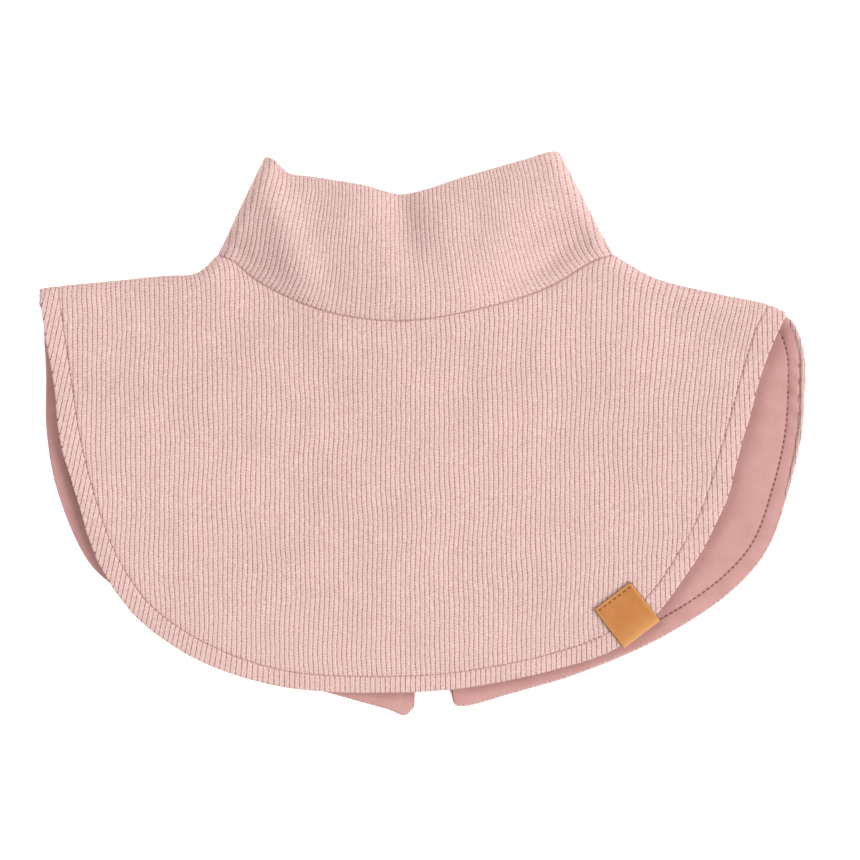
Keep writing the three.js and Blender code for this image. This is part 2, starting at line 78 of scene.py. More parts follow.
def bell(distance: Array, spread: float) -> Array:
    """A soft bump, 1 in its middle."""
    return np.exp(-((distance / spread) ** 2))


def linear(colour: str) -> tuple[float, float, float, float]:
    """Turns an sRGB hex colour to linear.

    Args:
        colour: six hex digits.

    Returns:
        Red, green, blue and alpha for a shader's socket.
    """
    parts = [int(colour[k : k + 2], 16) / 255 for k in (0, 2, 4)]
    red, green, blue = (c / 12.92 if c <= 0.04045 else ((c + 0.055) / 1.055) ** 2.4 for c in parts)
    return (red, green, blue, 1.0)


class Outline:
    """A smooth line through points in the plane of the table, measured by its own length."""

    def __init__(self, through: Sequence[Sequence[float]] | Array, steps: int = 14) -> None:
        """Draws the line.

        Args:
            through: the points, in mm.
            steps: straight stretches between two points.
        """
        points = np.asarray(through, float)
        ends = np.vstack([2 * points[0] - points[1], points, 2 * points[-1] - points[-2]])
        t = np.linspace(0, 1, steps, endpoint=False)[:, None]
        parts = []
        for p0, p1, p2, p3 in zip(ends, ends[1:], ends[2:], ends[3:]):
            d0, d1, d2 = (np.linalg.norm(b - a) ** 0.5 for a, b in ((p0, p1), (p1, p2), (p2, p3)))
            t1 = ((p1 - p0) / d0 - (p2 - p0) / (d0 + d1) + (p2 - p1) / d1) * d1
            t2 = ((p2 - p1) / d1 - (p3 - p1) / (d1 + d2) + (p3 - p2) / d2) * d1
            parts.append(p1 + t1 * t + (3 * (p2 - p1) - 2 * t1 - t2) * t**2 + (2 * (p1 - p2) + t1 + t2) * t**3)
        self.line = np.vstack([*parts, points[-1:]])
        self.reach = np.concatenate([[0.0], np.cumsum(np.linalg.norm(np.diff(self.line, axis=0), axis=1))])

    def at(self, share: Array | float) -> Array:
        """Gives the points at these shares of the line's length."""
        s = np.clip(share, 0, 1) * self.reach[-1]
        return np.stack([np.interp(s, self.reach, self.line[:, k]) for k in (0, 1)], axis=-1)

    def level(self, x: Array) -> Array:
        """Gives Y at these X, for a line that runs across."""
        order = np.argsort(self.line[:, 0])
        return np.interp(x, self.line[order, 0], self.line[order, 1])

    def inward(self, share: Array, middle: Array) -> Array:
        """Finds the directions at right angles to the line.

        Args:
            share: shares of the line's length.
            middle: a point on the side that the directions lead to.

        Returns:
            Unit vectors in the plane.
        """
        here = self.at(share)
        way = unit(self.at(share + 0.0008) - self.at(share - 0.0008))
        side = np.stack([-way[..., 1], way[..., 0]], axis=-1)
        return side * np.sign(((middle - here) * side).sum(-1, keepdims=True))

    def near(self, p: Array) -> tuple[Array, Array]:
        """Measures from points to the line.

        Args:
            p: points, with X and Y last.

        Returns:
            How far each point is from the line, and how far along the line its nearest place is.
        """
        start, step = self.line[:-1], np.diff(self.line, axis=0)
        squared = np.maximum((step**2).sum(1), 1e-12)
        flat = p[..., :2].reshape(-1, 2)
        far, along = np.empty(len(flat)), np.empty(len(flat))
        for k in range(0, len(flat), 6000):
            away = flat[k : k + 6000, None] - start
            share = np.clip((away * step).sum(2) / squared, 0, 1)
            gap = ((away - share[..., None] * step) ** 2).sum(2)
            best = gap.argmin(1)
            row = np.arange(len(best))
            far[k : k + 6000] = np.sqrt(gap[row, best])
            along[k : k + 6000] = self.reach[best] + share[row, best] * np.sqrt(squared[best])
        return far.reshape(p.shape[:-1]), along.reshape(p.shape[:-1])


@dataclass(frozen=True)
class Pattern:
    """The garment's outlines in the plane of the table. Lengths in mm, tables in shares of them."""

    neck_half: float = 97.2
    neck_drop: float = 32.5
    back_neck_drop: float = 13.0
    top_half: float = 72.0
    rise: float = 48.0
    top_shift: float = -2.0
    back_top_set: float = 3.0
    left_shoulder_size: tuple[float, float] = (89.0, 17.5)
    right_shoulder_size: tuple[float, float] = (86.4, 28.9)
    yoke_half: float = 190.0
    front_length: float = 217.0
    back_length: float = 230.0
    lap_ends: tuple[float, float] = (13.0, -7.0)

    left_line: tuple = ((0, 0), (0.09, 0.434), (0.15, 0.589), (0.31, 0.63), (0.61, 0.783), (0.89, 0.92), (1, 1))
    right_line: tuple = ((0, 0), (0.095, 0.163), (0.25, 0.415), (0.633, 0.7), (0.893, 0.865), (1, 1))
    neckline: tuple = (
        (-1, 0), (-0.93, 0.09), (-0.844, 0.31), (-0.73, 0.52), (-0.45, 0.86),
        (-0.08, 1), (0.33, 0.815), (0.68, 0.49), (0.91, 0.09), (1, 0),
    )  # fmt: skip
    top_line: tuple = (
        (-1, 1), (-0.955, 0.97), (-0.84, 0.82), (-0.7, 0.79), (-0.33, 0.7), (-0.19, 0.64), (-0.07, 0.605),
        (0.1, 0.65), (0.31, 0.755), (0.67, 0.915), (0.8, 0.97), (0.955, 1.045), (1.01, 1.055),
    )  # fmt: skip
    front_hem_line: tuple = (
        (-0.948, 0.274), (-0.922, 0.425), (-0.883, 0.561), (-0.834, 0.684), (-0.777, 0.773), (-0.717, 0.837),
        (-0.57, 0.922), (-0.343, 0.986), (-0.042, 0.998), (0.129, 0.987), (0.376, 0.943), (0.537, 0.89),
        (0.662, 0.787), (0.733, 0.694), (0.793, 0.594), (0.85, 0.434), (0.914, 0.235), (0.937, 0.175),
    )  # fmt: skip
    left_back_line: tuple = (
        (-0.97, 0.25), (-0.969, 0.378), (-0.941, 0.509), (-0.858, 0.663), (-0.774, 0.726), (-0.653, 0.8),
        (-0.495, 0.87), (-0.326, 0.922), (-0.185, 0.956), (-0.068, 0.983), (-0.026, 0.995), (-0.004, 0.978),
    )  # fmt: skip
    right_back_line: tuple = (
        (0.992, 0.143), (1.019, 0.206), (1.022, 0.283), (1.014, 0.387), (0.982, 0.505), (0.925, 0.635),
        (0.834, 0.723), (0.658, 0.821), (0.446, 0.899), (0.238, 0.951), (0.129, 0.975), (0.104, 0.972),
        (0.094, 0.944),
    )  # fmt: skip

    @cached_property
    def shoulder(self) -> dict[Side, Outline]:
        """The shoulder folds, from neck point to tip."""
        sizes = {
            Side.LEFT: (self.left_line, self.left_shoulder_size),
            Side.RIGHT: (self.right_line, self.right_shoulder_size),
        }
        return {
            side: Outline([(side.value * (self.neck_half + out * size[0]), -drop * size[1]) for out, drop in rows])
            for side, (rows, size) in sizes.items()
        }

    @cached_property
    def front_neck(self) -> Outline:
        """The front neck seam, from left to right."""
        return Outline([(x * self.neck_half, -y * self.neck_drop) for x, y in self.neckline])

    @cached_property
    def top_edge(self) -> Outline:
        """The front of the collar's top edge, from left to right."""
        return Outline([(self.top_shift + x * self.top_half, y * self.rise) for x, y in self.top_line])

    @cached_property
    def front_hem(self) -> Outline:
        """The front panel's free edge, from the left shoulder tip to the right one."""
        rows = [(x * self.yoke_half, -y * self.front_length) for x, y in self.front_hem_line]
        return Outline([self.shoulder[Side.LEFT].at(1.0), *rows, self.shoulder[Side.RIGHT].at(1.0)])

    @cached_property
    def back_hem(self) -> dict[Side, Outline]:
        """The back panels' free edges, from shoulder tip to the corner at the centre back."""
        rows = {Side.LEFT: self.left_back_line, Side.RIGHT: self.right_back_line}
        return {
            side: Outline(
                [self.shoulder[side].at(1.0), *((x * self.yoke_half, -y * self.back_length) for x, y in rows[side])]
            )
            for side in Side
        }

    @cached_property
    def collar_side(self) -> dict[Side, Outline]:
        """The collar's side folds, from neck point to top corner."""
        heads = {Side.LEFT: self.top_edge.at(0.0), Side.RIGHT: self.top_edge.at(1.0)}
        return {side: Outline([(side.value * self.neck_half, 0.0), heads[side]], steps=2) for side in Side}

    def lap_end(self, side: Side) -> float:
        """X of the end of the collar and of the back neckline that comes from this side."""
        return self.lap_ends[0] if side is Side.LEFT else self.lap_ends[1]

    def back_neck(self, side: Side, share: Array) -> Array:
        """Points on the back neck seam, from the neck point to the lapped end."""
        x = side.value * self.neck_half + (self.lap_end(side) - side.value * self.neck_half) * share
        return np.stack([x, -self.back_neck_drop * (1 - (x / self.neck_half) ** 2)], axis=-1)

    def back_top(self, side: Side, share: Array) -> Array:
        """Points on the back of the collar's top edge, from the corner to the lapped end."""
        corner = self.top_edge.at(0.0 if side is Side.LEFT else 1.0)
        x = corner[0] + (self.lap_end(side) - corner[0]) * share
        return np.stack([x, self.top_edge.level(x) - self.back_top_set * smooth(4 * share)], axis=-1)


@dataclass(frozen=True)
class Lie:
    """How high the middle of the cloth lies above the table. Lengths in mm."""

    pattern: Pattern
    cloth: float = 2.6
    hem_level: float = 7.3
    shoulder_level: float = 10.8
    neck_swell: float = 6.5
    swell_across: float = 76.0
    swell_along: float = 50.0
    swell_below: float = 21.0
    collar_loft: float = 5.0
    loft_turn: float = 0.8
    fold_depth: float = 6.0
    curl_reach: float = 13.0
    panel_lift: float = 3.35
    collar_lift: float = 4.6
    lift_fade: float = 22.0
    ramp_start: float = 6.0
    ramp_run: float = 14.0
    crease_height: float = 2.4
    # Across in neck widths, down in front lengths, turn in degrees, long and wide in front lengths, height
    creases: tuple = (
        (-0.335, -0.06, -66, 0.17, 0.042, 1.6),
        (-0.44, 0.02, -48, 0.1, 0.045, -1.3),
        (-0.03, -0.09, -78, 0.1, 0.038, -1.6),
        (0.085, -0.09, -80, 0.1, 0.06, 0.65),
        (0.25, -0.08, -85, 0.14, 0.12, 0.8),
        (0.36, -0.022, 36, 0.12, 0.053, -4.0),
        (0.73, 0.19, -20, 0.155, 0.073, -0.85),
        (-0.8, 0.24, 75, 0.205, 0.064, -0.33),
        (0.1, 0.55, 10, 0.318, 0.155, 0.38),
    )

    @property
    def table(self) -> float:
        """The middle of cloth that lies on the table."""
        return self.cloth / 2

    def parted(self, p: Array) -> Array:
        """0 on a fold and 1 where the two layers have parted, on a quarter of an ellipse."""
        folds = [*self.pattern.shoulder.values(), *self.pattern.collar_side.values()]
        share = np.clip(np.min([fold.near(p)[0] for fold in folds], axis=0) / self.fold_depth, 0, 1)
        return np.sqrt(1 - (1 - share) ** 2)

    def dents(self, p: Array) -> Array:
        """The soft dents and ridges of the upper layer."""
        total = np.zeros(p.shape[:-1])
        for across, down, turn, long, wide, height in self.creases:
            c, s = math.cos(math.radians(turn)), math.sin(math.radians(turn))
            x = p[..., 0] - across * 2 * self.pattern.neck_half
            y = p[..., 1] + down * self.pattern.front_length
            fade = bell(x * c + y * s, long * self.pattern.front_length)
            total += height * self.crease_height * fade * bell(y * c - x * s, wide * self.pattern.front_length)
        return total

    def top(self, p: Array, loft: Array | float = 0.0) -> Array:
        """The upper layer where the layers lie apart."""
        fall = smooth(-p[..., 1] / self.pattern.front_length)
        swell = self.neck_swell * bell(p[..., 0], self.swell_across)
        swell *= bell(p[..., 1] + self.swell_below, self.swell_along)
        return self.hem_level + (self.shoulder_level - self.hem_level) * (1 - fall) + swell + self.dents(p) + loft

    def upper(self, p: Array, loft: Array | float = 0.0) -> Array:
        """Height of the upper layer.

        Args:
            p: points, with X and Y last.
            loft: how much higher it arches there.

        Returns:
            The height of the middle of the cloth at each point.
        """
        top = self.top(p, loft)
        middle = (top + self.table) / 2
        return middle + (top - middle) * self.parted(p)

    def lower(self, p: Array, loft: Array | float = 0.0, raised: Array | float = 0.0) -> Array:
        """Height of the lower layer.

        Args:
            p: points, with X and Y last.
            loft: how much higher the upper layer arches there.
            raised: how much it stands off the table.

        Returns:
            The height of the middle of the cloth at each point.
        """
        middle = (self.top(p, loft) + self.table) / 2
        return middle - (middle - self.table - raised) * self.parted(p)

    def arch(self, up: Array) -> Array:
        """How far the collar arches at this share of its height."""
        return self.collar_loft * np.sin(np.pi * self.loft_turn * up)

    def step(self, x: Array, edge: Array | float, height: Array | float) -> Array:
        """How far an upper lap is lifted by the lower one, whose edge is at this X."""
        return height * smooth((edge + self.ramp_start + self.ramp_run - x) / self.ramp_run)


@dataclass(frozen=True)
class RibStitch:
    """Sizes of the rib knit, in mm: narrow grooves between flat ribs."""

    pitch: float = 2.4
    groove: float = 0.24
    stations: tuple[float, ...] = (0.0, 0.08, 0.19, 0.5, 0.81, 0.92)

    def columns(self, low: float, high: float, pitch: float | None = None) -> Array:
        """Places mesh columns on every rib.

        Args:
            low: where the first rib starts.
            high: where the last rib ends.
            pitch: width of a rib, if not the usual one.

        Returns:
            Rib coordinates in mm, from low to high.
        """
        width = pitch or self.pitch
        ribs = np.arange(math.floor(low / width) - 1, math.ceil(high / width) + 1)
        places = (ribs[:, None] + np.array(self.stations)).ravel() * width
        inside = places[(places > low + 0.06) & (places < high - 0.06)]
        return np.concatenate([[low], inside, [high]])

    def relief(self, ribs: Array) -> Array:
        """Depth of the surface at a rib count, 0 on a rib and below 0 in a groove."""
        phase = np.abs((ribs + 0.5) % 1 - 0.5)
        return -self.groove * bell(phase, 0.085) - 0.04 * bell(phase - 0.5, 0.12)

    def wander(self, u: Array, v: Array) -> Array:
        """How far a rib strays sideways along its run."""
        drift = np.sin(v / 13.0 + u / 23.0) + 0.6 * np.sin(v / 7.1 - u / 31.0 + 2.0 * np.sin(u / 47.0))
        slow = np.sin(v / 3.1 + u / 6.1 + 1.7 * np.sin(u / 11.0))
        quick = np.sin(v / 1.7 + u / 1.3 + 2.1 * np.sin(u / 7.0))
        return 0.42 * drift + 0.1 * slow + 0.06 * quick


@dataclass
class Block:
    """A grid of cloth: rows by columns of points in mm, with the knit's own measures for its material."""

    points: Array
    ribs: Array
    run: Array
    marks: dict[str, Array] = field(default_factory=dict)
    flip: bool = False


def cloth_object(name: str, blocks: Sequence[Block], weld: float = 0.0) -> bpy.types.Object:
    """Makes one piece of cloth from its grids.

    Args:
        name: the piece's name.
        blocks: its grids.
        weld: points nearer to each other than this many mm become one, if above 0.

    Returns:
        The new object, with its UV map and attributes.
    """
    points, faces, uv, start = [], [], [], 0
    names = sorted({key for block in blocks for key in block.marks})
    marks: dict[str, list[Array]] = {key: [] for key in names}
    for block in blocks:
        rows, columns = block.points.shape[:2]
        index = start + np.arange(rows * columns).reshape(rows, columns)
        quad = np.stack([index[:-1, :-1], index[1:, :-1], index[1:, 1:], index[:-1, 1:]], axis=-1).reshape(-1, 4)
        faces.append(quad[:, ::-1] if block.flip else quad)
        placed = (block.points.reshape(-1, 3) + NECK_MIDDLE) * MM
        placed[:, 2] = np.maximum(placed[:, 2], 0.00002)  # cloth lies on the table, not in it
        points.append(placed)
        uv.append(np.stack([np.broadcast_to(a, (rows, columns)).ravel() for a in (block.ribs, block.run)], axis=-1))
        for key in names:
            marks[key].append(np.broadcast_to(block.marks.get(key, 99.0), (rows, columns)).ravel())
        start += rows * columns
    mesh = bpy.data.meshes.new(name)
    mesh.from_pydata(np.vstack(points).tolist(), [], np.vstack(faces).tolist())
    layer = mesh.uv_layers.new(name="knit")
    corner = np.empty(len(mesh.loops), dtype=np.int32)
    mesh.loops.foreach_get("vertex_index", corner)
    layer.data.foreach_set("uv", (np.vstack(uv)[corner] * MM).astype(np.float32).ravel())
    for key, values in marks.items():
        attribute = mesh.attributes.new(key, "FLOAT", "POINT")
        attribute.data.foreach_set("value", np.concatenate(values).astype(np.float32))
    mesh.shade_smooth()
    made = bpy.data.objects.new(name, mesh)
    bpy.context.collection.objects.link(made)
    if weld:
        only(made)
        bpy.ops.object.mode_set(mode="EDIT")
        bpy.ops.mesh.select_all(action="SELECT")
        bpy.ops.mesh.remove_doubles(threshold=weld * MM)
        bpy.ops.object.mode_set(mode="OBJECT")
    return made


def only(piece: bpy.types.Object) -> None:
    """Selects this piece and nothing else."""
    bpy.ops.object.select_all(action="DESELECT")
    piece.select_set(True)
    bpy.context.view_layer.objects.active = piece


def lay(plane: Array, height: Array) -> Array:
    """Joins points in the plane and their heights."""
    return np.concatenate([plane, height[..., None]], axis=-1)


def unit(vectors: Array) -> Array:
    """Scales vectors to length 1."""
    return vectors / np.maximum(np.linalg.norm(vectors, axis=-1, keepdims=True), 1e-9)


def grid_normals(points: Array, way: int) -> Array:
    """Normals of a grid.

    Args:
        points: rows by columns of points.
        way: 1 or -1, which turns the normals to the garment's outside.

    Returns:
        Unit normals of the same shape.
    """
    return unit(way * np.cross(np.gradient(points, axis=0), np.gradient(points, axis=1)))


def spread(top: float, bottom: float, rows: Sequence[int], length: Array) -> Array:
    """Places rows close together at both ends of every column.

    Args:
        top: length in mm of the dense stretch at the top.
        bottom: the same at the bottom.
        rows: how many steps the top, the middle and the bottom have.
        length: each column's length.

    Returns:
        Distances from the top, rows by columns.
    """
    head = np.minimum(top, 0.25 * length)
    foot = np.minimum(bottom, 0.4 * length)
    first = (np.arange(rows[0]) / rows[0])[:, None] ** 1.7 * head
    middle = head + np.linspace(0, 1, rows[1], endpoint=False)[:, None] * (length - head - foot)
    last = (length - foot) + (1 - (1 - np.linspace(0, 1, rows[2] + 1)[:, None]) ** 1.25) * foot
    return np.vstack([first, middle, last])


def patch(top: Array, bottom: Array, left: Array, right: Array, across: Array, down: Array) -> Array:
    """Fills four border lines with a grid.

    Args:
        top: points of the top border.
        bottom: points of the bottom border.
        left: points of the left border.
        right: points of the right border.
        across: shares along the top and bottom.
        down: shares along the left and right.

    Returns:
        Points in the plane, rows by columns.
    """
    u, v = across[None, :, None], down[:, None, None]
    between = top[None] * (1 - v) + bottom[None] * v + left[:, None] * (1 - u) + right[:, None] * u
    corners = (1 - u) * ((1 - v) * top[0] + v * bottom[0]) + u * ((1 - v) * top[-1] + v * bottom[-1])
    return between - corners


def length_shares(points: Array) -> Array:
    """Each point's share of the length of a line of points."""
    sums = np.concatenate([[0.0], np.cumsum(np.linalg.norm(np.diff(points, axis=0), axis=1))])
    return sums / sums[-1]


def shell(
    points: Array,
    normals: Array,
    outer: Array,
    inner: Array,
    draw_in: float = 0.0,
    bulge: Array | float = 0.5,
) -> list[Block]:
    """Gives a sheet its thickness.

    Args:
        points: the middle of the cloth, rows by columns.
        normals: its outward normals.
        outer: offset of the outer face.
        inner: offset of the inner face.
        draw_in: how far all borders are drawn in.
        bulge: how far the borders are rounded out.

    Returns:
        The outer face, the inner face and the rounded border as grids.
    """
    middle = points.copy()
    way = np.zeros_like(points)
    every = slice(None)
    for here, beside in (((0,), (1,)), ((-1,), (-2,)), ((every, 0), (every, 1)), ((every, -1), (every, -2))):
        away = points[here] - points[beside]
        away -= (away * normals[here]).sum(-1, keepdims=True) * normals[here]
        way[here] += unit(away)
    middle -= way * draw_in
    outside = middle + normals * np.asarray(outer)[..., None]
    inside = middle + normals * np.asarray(inner)[..., None]
    rows, columns = points.shape[:2]
    ring = [(0, c) for c in range(columns)] + [(r, columns - 1) for r in range(1, rows)]
    ring += [(rows - 1, c) for c in range(columns - 2, -1, -1)] + [(r, 0) for r in range(rows - 2, -1, -1)]
    at = tuple(np.array(ring).T)
    swell = unit(way[at]) * np.broadcast_to(bulge, (rows, columns))[at][:, None]
    turned = []
    for turn in np.linspace(0, np.pi, 6):
        level = (1 + math.cos(turn)) / 2
        turned.append(outside[at] * level + inside[at] * (1 - level) + swell * math.sin(turn))
    rim = np.array(turned)
    plane = lambda grid: (grid[..., 0], grid[..., 1])
    return [
        Block(outside, *plane(points)),
        Block(inside, *plane(points), flip=True),
        Block(rim, *plane(np.broadcast_to(points[at], rim.shape)), flip=True),
    ]


@dataclass(frozen=True)
class Finish:
    """A material made of nodes, with its name."""

    name: str

    def material(self) -> bpy.types.Material:
        """Makes the material."""
        made = bpy.data.materials.new(self.name)
        made.use_nodes = True
        made.node_tree.nodes.clear()
        self.build(made.node_tree)
        return made

    def build(self, tree: bpy.types.NodeTree) -> None:
        """Adds the nodes to an empty tree."""
        raise NotImplementedError


# Node settings that several finishes share
SOFT_STEP = {"interpolation_type": "SMOOTHSTEP"}
COLOURS = {"data_type": "RGBA"}
SCALE = {"operation": "SCALE"}
TIMES = {"operation": "MULTIPLY"}
LARGER = {"operation": "MAXIMUM"}


def node(
    tree: bpy.types.NodeTree,
    kind: str,
    settings: dict[str, Any] | None = None,
    links: dict[int | str, Any] | None = None,
) -> Any:
    """Adds a node.

    Args:
        tree: the material's tree.
        kind: the node's type, without its usual first word.
        settings: the node's properties.
        links: for each input, the output that feeds it or the value that it is set to.

    Returns:
        The node.
    """
    made = tree.nodes.new("ShaderNode" + kind)
    for key, value in (settings or {}).items():
        setattr(made, key, value)
    for key, value in (links or {}).items():
        if isinstance(value, bpy.types.NodeSocket):
            tree.links.new(value, made.inputs[key])
        else:
            made.inputs[key].default_value = value
    return made


@dataclass(frozen=True)
class CottonRibKnit(Finish):
    """Cotton rib knit, worn soft: matt, a little fuzzy, with painted shade, broken into dots, in its narrow grooves.
    """

    rib: str = "C1A39D"
    pale: str = "D0B9B4"
    # colour of the painted shade in the grooves
    groove: str = "7E2F33"
    pitch: float = 2.4
    stitch: float = 1.5

    def build(self, tree: bpy.types.NodeTree) -> None:
        """Adds ribs on the UV map, knit loops along them, fibres, and painted shade in the grooves and along the
        marks' lines.
        """
        uv = node(tree, "UVMap", {"uv_map": "knit"})
        split = node(tree, "SeparateXYZ", links={0: uv.outputs[0]})
        hem = node(tree, "Attribute", {"attribute_name": "hem"})
        band = node(tree, "Attribute", {"attribute_name": "band"})
        seam = node(tree, "Attribute", {"attribute_name": "seam"})
        inside = node(tree, "Math", {"operation": "LESS_THAN"}, {0: hem.outputs["Fac"], 1: 0.0})
        ribs = node(tree, "Math", {"operation": "DIVIDE"}, {0: split.outputs[0], 1: self.pitch * MM})
        count = node(
            tree,
            "Mix",
            {"data_type": "FLOAT"},
            {0: inside.outputs[0], 2: ribs.outputs[0], 3: band.outputs["Fac"]},
        )
        rows = node(tree, "Math", {"operation": "DIVIDE"}, {0: split.outputs[1], 1: self.stitch * MM})
        # A rib's own number shifts its loops and dots, so that no two ribs look alike
        number = node(tree, "Math", {"operation": "ROUND"}, {0: count.outputs[0]})
        chance = node(tree, "TexWhiteNoise", {"noise_dimensions": "1D"}, {"W": number.outputs[0]})
        phase = node(tree, "Math", {"operation": "PINGPONG"}, {0: count.outputs[0], 1: 0.5})
        # Painted shade: the grooves between the ribs are coloured darker, broken into dots along them
        groove = node(tree, "MapRange", SOFT_STEP, {0: phase.outputs[0], 1: 0.01, 2: 0.145, 3: 1.0, 4: 0.0})
        slip = node(tree, "Math", {"operation": "ADD"}, {0: rows.outputs[0], 1: chance.outputs[0]})
        dots = node(tree, "Math", {"operation": "PINGPONG"}, {0: slip.outputs[0], 1: 0.5})
        fibre = node(tree, "TexCoord")
        rough = node(
            tree,
            "TexNoise",
            {},
            {"Vector": fibre.outputs["Object"], "Scale": 560.0, "Detail": 2.0, "Roughness": 0.6},
        )
        fleck = node(
            tree,
            "TexNoise",
            {},
            {"Vector": fibre.outputs["Object"], "Scale": 1150.0, "Detail": 1.0, "Roughness": 0.5},
        )
        worn = node(
            tree,
            "TexNoise",
            {},
            {"Vector": fibre.outputs["Object"], "Scale": 55.0, "Detail": 3.0, "Roughness": 0.6},
        )
        dark = node(tree, "MapRange", {}, {0: dots.outputs[0], 1: 0.05, 2: 0.35, 3: 0.22, 4: 1.0})
        broken = node(tree, "MapRange", {}, {0: rough.outputs[0], 1: 0.38, 2: 0.56, 3: 0.45, 4: 1.0})
        # In the hem band the ribs are pulled straight, so their grooves show as lines and not as dots
        steady = node(tree, "Math", {"operation": "MULTIPLY_ADD"}, {0: inside.outputs[0], 1: 0.5, 2: dark.outputs[0]})
        drawn = node(tree, "Math", {"operation": "MINIMUM"}, {0: steady.outputs[0], 1: 0.95})
        painted_shade = node(tree, "Math", TIMES, {0: groove.outputs[0], 1: drawn.outputs[0]})
        painted_shade = node(tree, "Math", TIMES, {0: painted_shade.outputs[0], 1: broken.outputs[0]})
        # The topstitched groove and the neck seam hold shade
        away = node(tree, "Math", {"operation": "ABSOLUTE"}, {0: hem.outputs["Fac"]})
        stitch_line_shade = node(tree, "MapRange", SOFT_STEP, {0: away.outputs[0], 1: 0.05, 2: 0.55, 3: 0.34, 4: 0.0})
        sewn = node(tree, "MapRange", SOFT_STEP, {0: seam.outputs["Fac"], 1: 0.05, 2: 0.8, 3: 0.48, 4: 0.0})
        painted_shade = node(tree, "Math", LARGER, {0: painted_shade.outputs[0], 1: stitch_line_shade.outputs[0]})
        painted_shade = node(tree, "Math", LARGER, {0: painted_shade.outputs[0], 1: sewn.outputs[0]})
        # Knit loops: small chevrons on each rib
        lean = node(tree, "Math", {"operation": "MULTIPLY_ADD"}, {0: phase.outputs[0], 1: 1.2, 2: slip.outputs[0]})
        loops = node(tree, "Math", {"operation": "PINGPONG"}, {0: lean.outputs[0], 1: 0.5})
        pale = node(tree, "MapRange", {}, {0: fleck.outputs[0], 1: 0.36, 2: 0.64, 3: 0.0, 4: 1.0})
        body = node(tree, "Mix", COLOURS, {0: pale.outputs[0], 6: linear(self.rib), 7: linear(self.pale)})
        shaded = node(tree, "Mix", COLOURS, {0: painted_shade.outputs[0], 6: body.outputs[2], 7: linear(self.groove)})
        tone = node(tree, "MapRange", {}, {0: worn.outputs[0], 1: 0.3, 2: 0.7, 3: 0.96, 4: 1.03})
        loop_tone = node(tree, "MapRange", {}, {0: loops.outputs[0], 1: 0.0, 2: 0.5, 3: 0.99, 4: 1.01})
        tone = node(tree, "Math", TIMES, {0: tone.outputs[0], 1: loop_tone.outputs[0]})
        crown = node(tree, "MapRange", SOFT_STEP, {0: phase.outputs[0], 1: 0.36, 2: 0.5, 3: 1.0, 4: 0.93})
        tone = node(tree, "Math", TIMES, {0: tone.outputs[0], 1: crown.outputs[0]})
        colour = node(tree, "VectorMath", SCALE, {0: shaded.outputs[2], "Scale": tone.outputs[0]})
        height = node(tree, "Math", {"operation": "MULTIPLY_ADD"}, {0: loops.outputs[0], 1: 0.04, 2: rough.outputs[0]})
        height = node(
            tree,
            "Math",
            {"operation": "MULTIPLY_ADD"},
            {0: groove.outputs[0], 1: -0.5, 2: height.outputs[0]},
        )
        bump = node(tree, "Bump", {}, {"Height": height.outputs[0], "Distance": 0.35 * MM, "Strength": 0.8})
        shader = node(
            tree,
            "BsdfPrincipled",
            {},
            {
                "Base Color": colour.outputs[0],
                "Roughness": 0.93,
                "Sheen Weight": 0.03,
                "Sheen Roughness": 0.45,
                "Sheen Tint": linear("F5BDB4"),
                "Specular IOR Level": 0.12,
                "Normal": bump.outputs[0],
            },
        )
        node(tree, "OutputMaterial", {}, {0: shader.outputs[0]})


